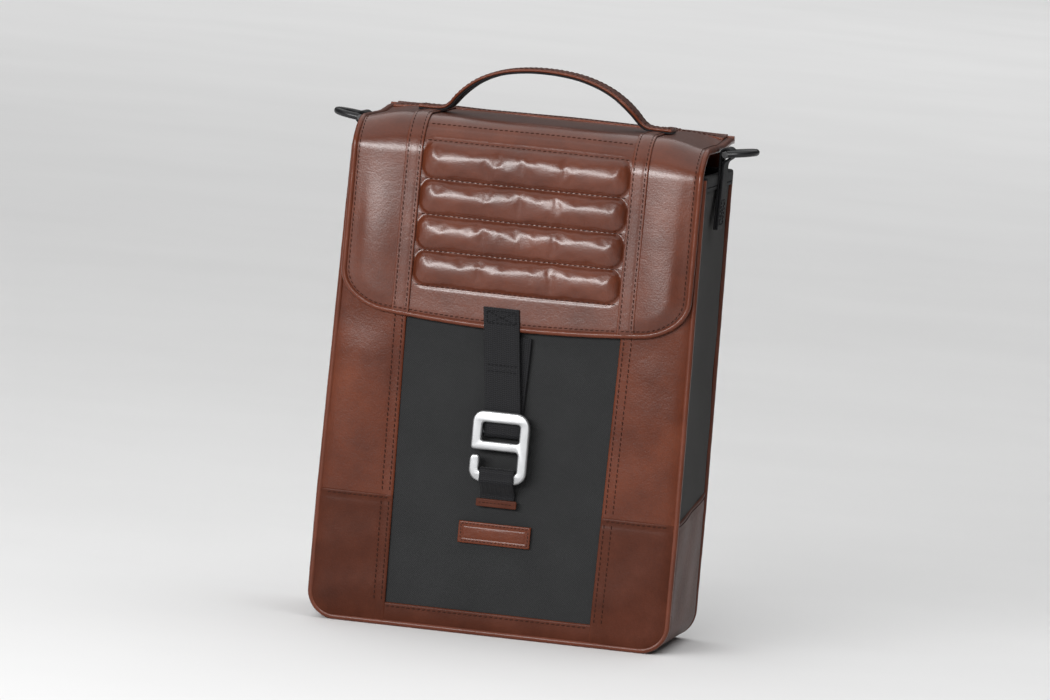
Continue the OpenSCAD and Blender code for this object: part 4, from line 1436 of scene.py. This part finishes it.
def make_closure():
    half, step = STRAP_HALF, 1.5 * MM
    z = np.concatenate([[STRAP_TOP, STRAP_TOP - 0.5 * MM], np.arange(STRAP_TOP - step, STRAP_JOIN, -step),
                        [STRAP_JOIN]])
    upper = strap("closure_strap_upper", on_strap(0, z), (-1, 0, 0), half, STRAP_THICK)
    dress(upper, WEB, None, ["strap_end"])
    bend = arc(PIN_Y, PIN_Z, (TAIL_Y - STRAP_Y) / 2, 180, 360, 16)
    up = np.arange(PIN_Z + step, TAIL_TOP, step)
    tail_lean = 1.5 * MM * ease((up - PIN_Z) / (TAIL_TOP - PIN_Z))
    path = np.concatenate([on_strap(0, np.arange(STRAP_JOIN, PIN_Z, -step)), upright(bend),
                           np.stack([tail_lean, 0 * up + TAIL_Y, up], 1)])
    lower = strap("closure_strap_lower", path, (-1, 0, 0), half, STRAP_THICK)
    dress(lower, WEB, None, ["closure_strap", "hook_webbing"])
    box = boxed(-half + 2.6 * MM, STRAP_TOP - 10.6 * MM, half - 2.6 * MM, STRAP_TOP - 2.4 * MM)
    sewn("strap_end_thread", [on_strap(*line.T) for line in box], (0, 1, 0), [upper], BLACK_THREAD, "flap",
         pitch=2.8 * MM, long=2.2 * MM)
    lean = np.array([float(strap_lean(STRAP_JOIN)), 0, 0])
    bars = [lean + crosswise(half - 2 * MM, STRAP_Y, STRAP_JOIN + up) for up in (-2.2 * MM, 2.2 * MM)]
    sewn("strap_bar_thread", bars, (0, 1, 0), [upper, lower], BLACK_THREAD, "strap", **SMALL_STITCH)
    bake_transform(upper)
    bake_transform(lower)


def make_hook():
    """A thick rounded hook plate: a slot for the strap above, and an open slot for the loop below."""
    low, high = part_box("hook_frame")
    half, slot = high.x, STRAP_HALF + 0.3 * MM
    front, back = low.y, low.y + 4.2 * MM
    bottom, top = low.z, high.z
    slot_top, mid_top, mid_low, bar_top = top - 8 * MM, top - 20.5 * MM, top - 27 * MM, bottom + 7.5 * MM
    gap_low = mid_low - 3.2 * MM
    # each corner of the outline: x, z and its radius in mm
    corners = [(slot, mid_low, 2.0), (slot, bar_top, 2.0), (-slot, bar_top, 2.0), (-slot, gap_low, 2.4),
               (-half, gap_low, 3.2), (-half, bottom, 9), (half, bottom, 9), (half, top, 10),
               (-half, top, 7.5), (-half, mid_low, 2.6)]
    outline = round_corners([(x, z) for x, z, _ in corners], [r * MM for _, _, r in corners])
    hole = rounded_box(-slot, mid_top, slot, slot_top, 1.6 * MM)
    plate = bevelled("hook_plate", outline, [hole], front, back, 1.5 * MM)
    ears = []
    for s in (-1, 1):
        eye = straight((s * (slot + 0.4 * MM), PIN_Y, PIN_Z), (s * (slot + 3.4 * MM), PIN_Y, PIN_Z), 1 * MM)
        ears.append(tube("ear", eye, 20, 2.6 * MM, up=(0, 0, 1)))
        x = s * (slot + 1.9 * MM)
        stem = straight((x, PIN_Y, PIN_Z), (x, back - 0.5 * MM, PIN_Z), 1 * MM)
        ears.append(tube("ear", stem, 12, 2.4 * MM, 1.5 * MM, up=(0, 0, 1)))
    piece = join("hook_plate", [settle(plate)] + ears)
    dress(piece, SILVER, "hook", ["hook_frame"])


make_closure()
make_hook()

# ---------------------------------------------------------------- the frame's own hard nodes


def show_node(name, mat):
    obj = frame["nodes"][name]
    obj.data.materials.clear()
    obj.data.materials.append(mat)
    if name.endswith("_ring"):
        coat = obj.modifiers.new("coat", "DISPLACE")
        coat.strength, coat.mid_level = 0.4 * MM, 0
    split_edges(obj, 35)
    obj.data.shade_smooth()


for name, mat in (("left_ring", BLACK_METAL), ("right_ring", BLACK_METAL), ("hook_pin", STEEL),
                  ("back_plate", BLACK_PLASTIC), ("plate_rivets", STEEL), ("rivet_washers", STEEL),
                  ("mount_eyelets", STEEL), ("front_board", BOARD), ("back_board", BOARD),
                  ("base_board", BOARD), ("flap_welt", TRIM)):
    show_node(name, mat)

# ---------------------------------------------------------------- stage, light and camera
FLOOR = 60.0                                   # side of the floor, in metres


def make_backdrop():
    """A wide pale floor."""
    edge = FLOOR / 2
    floor = grid("backdrop", np.array([[(x, y, 0.0) for x in (-edge, edge)] for y in (-edge, edge)]))
    mat, tree, shader = material("pale_paper", Roughness=0.85)
    tone = node(tree, "TexNoise", {"Vector": place(tree), "Scale": 3.0, "Detail": 3.0})
    tree.links.new(colours(tree, tone.outputs["Fac"], [(0.2, (0.78, 0.78, 0.78)), (0.8, (0.82, 0.82, 0.82))]),
                   shader.inputs["Base Color"])
    floor.data.materials.append(mat)


def make_light(name, where, target, size, watts, spread_degrees):
    """A softbox; a narrow spread keeps its light off the floor."""
    lamp = bpy.data.lights.new(name, "AREA")
    lamp.shape = "RECTANGLE"
    lamp.size, lamp.size_y = size
    lamp.energy = watts
    lamp.spread = math.radians(spread_degrees)
    obj = add(name, lamp)
    obj.location = where
    obj.rotation_euler = (Vector(target) - Vector(where)).to_track_quat("-Z", "Y").to_euler()


def make_camera(azimuth, elevation, roll, distance, lens):
    """A long lens that looks at the bag's middle, rolled as the photograph is."""
    low, high = cad_box
    middle = (Vector(low) + Vector(high)) / 2
    az, el = math.radians(azimuth), math.radians(elevation)
    away = Vector((math.sin(az) * math.cos(el), -math.cos(az) * math.cos(el), math.sin(el)))
    camera = bpy.data.cameras.new("camera")
    camera.lens = lens
    camera.sensor_width = 36
    camera.clip_end = 50
    obj = add("camera", camera)
    obj.location = middle + away * distance
    turn = (-away).to_track_quat("-Z", "Y").to_matrix().to_4x4()
    obj.rotation_euler = (turn @ Matrix.Rotation(math.radians(roll), 4, "Z")).to_euler()
    bpy.context.scene.camera = obj


def make_world():
    world = bpy.data.worlds.new("studio")
    world.use_nodes = True
    sky = world.node_tree.nodes["Background"]
    sky.inputs["Color"].default_value = (1, 1, 1, 1)
    sky.inputs["Strength"].default_value = 0.1
    bpy.context.scene.world = world


make_backdrop()
make_world()
bpy.context.scene.view_settings.view_transform = "Standard"
MIDDLE = (0, 0, 0.19)
make_light("key", (-0.7, -2.5, 0.82), MIDDLE, (2.3, 0.55), 18, 75)
make_light("overhead", (0.0, 2.0, 5.0), (0, 2.0, 0), (9.0, 13.0), 430, 180)
make_light("far_floor", (-1.5, 14.0, 5.0), (-1.5, 14.0, 0), (12.0, 16.0), 380, 80)
make_camera(10.0, 5.0, 5.2, 6.0, 300.0)
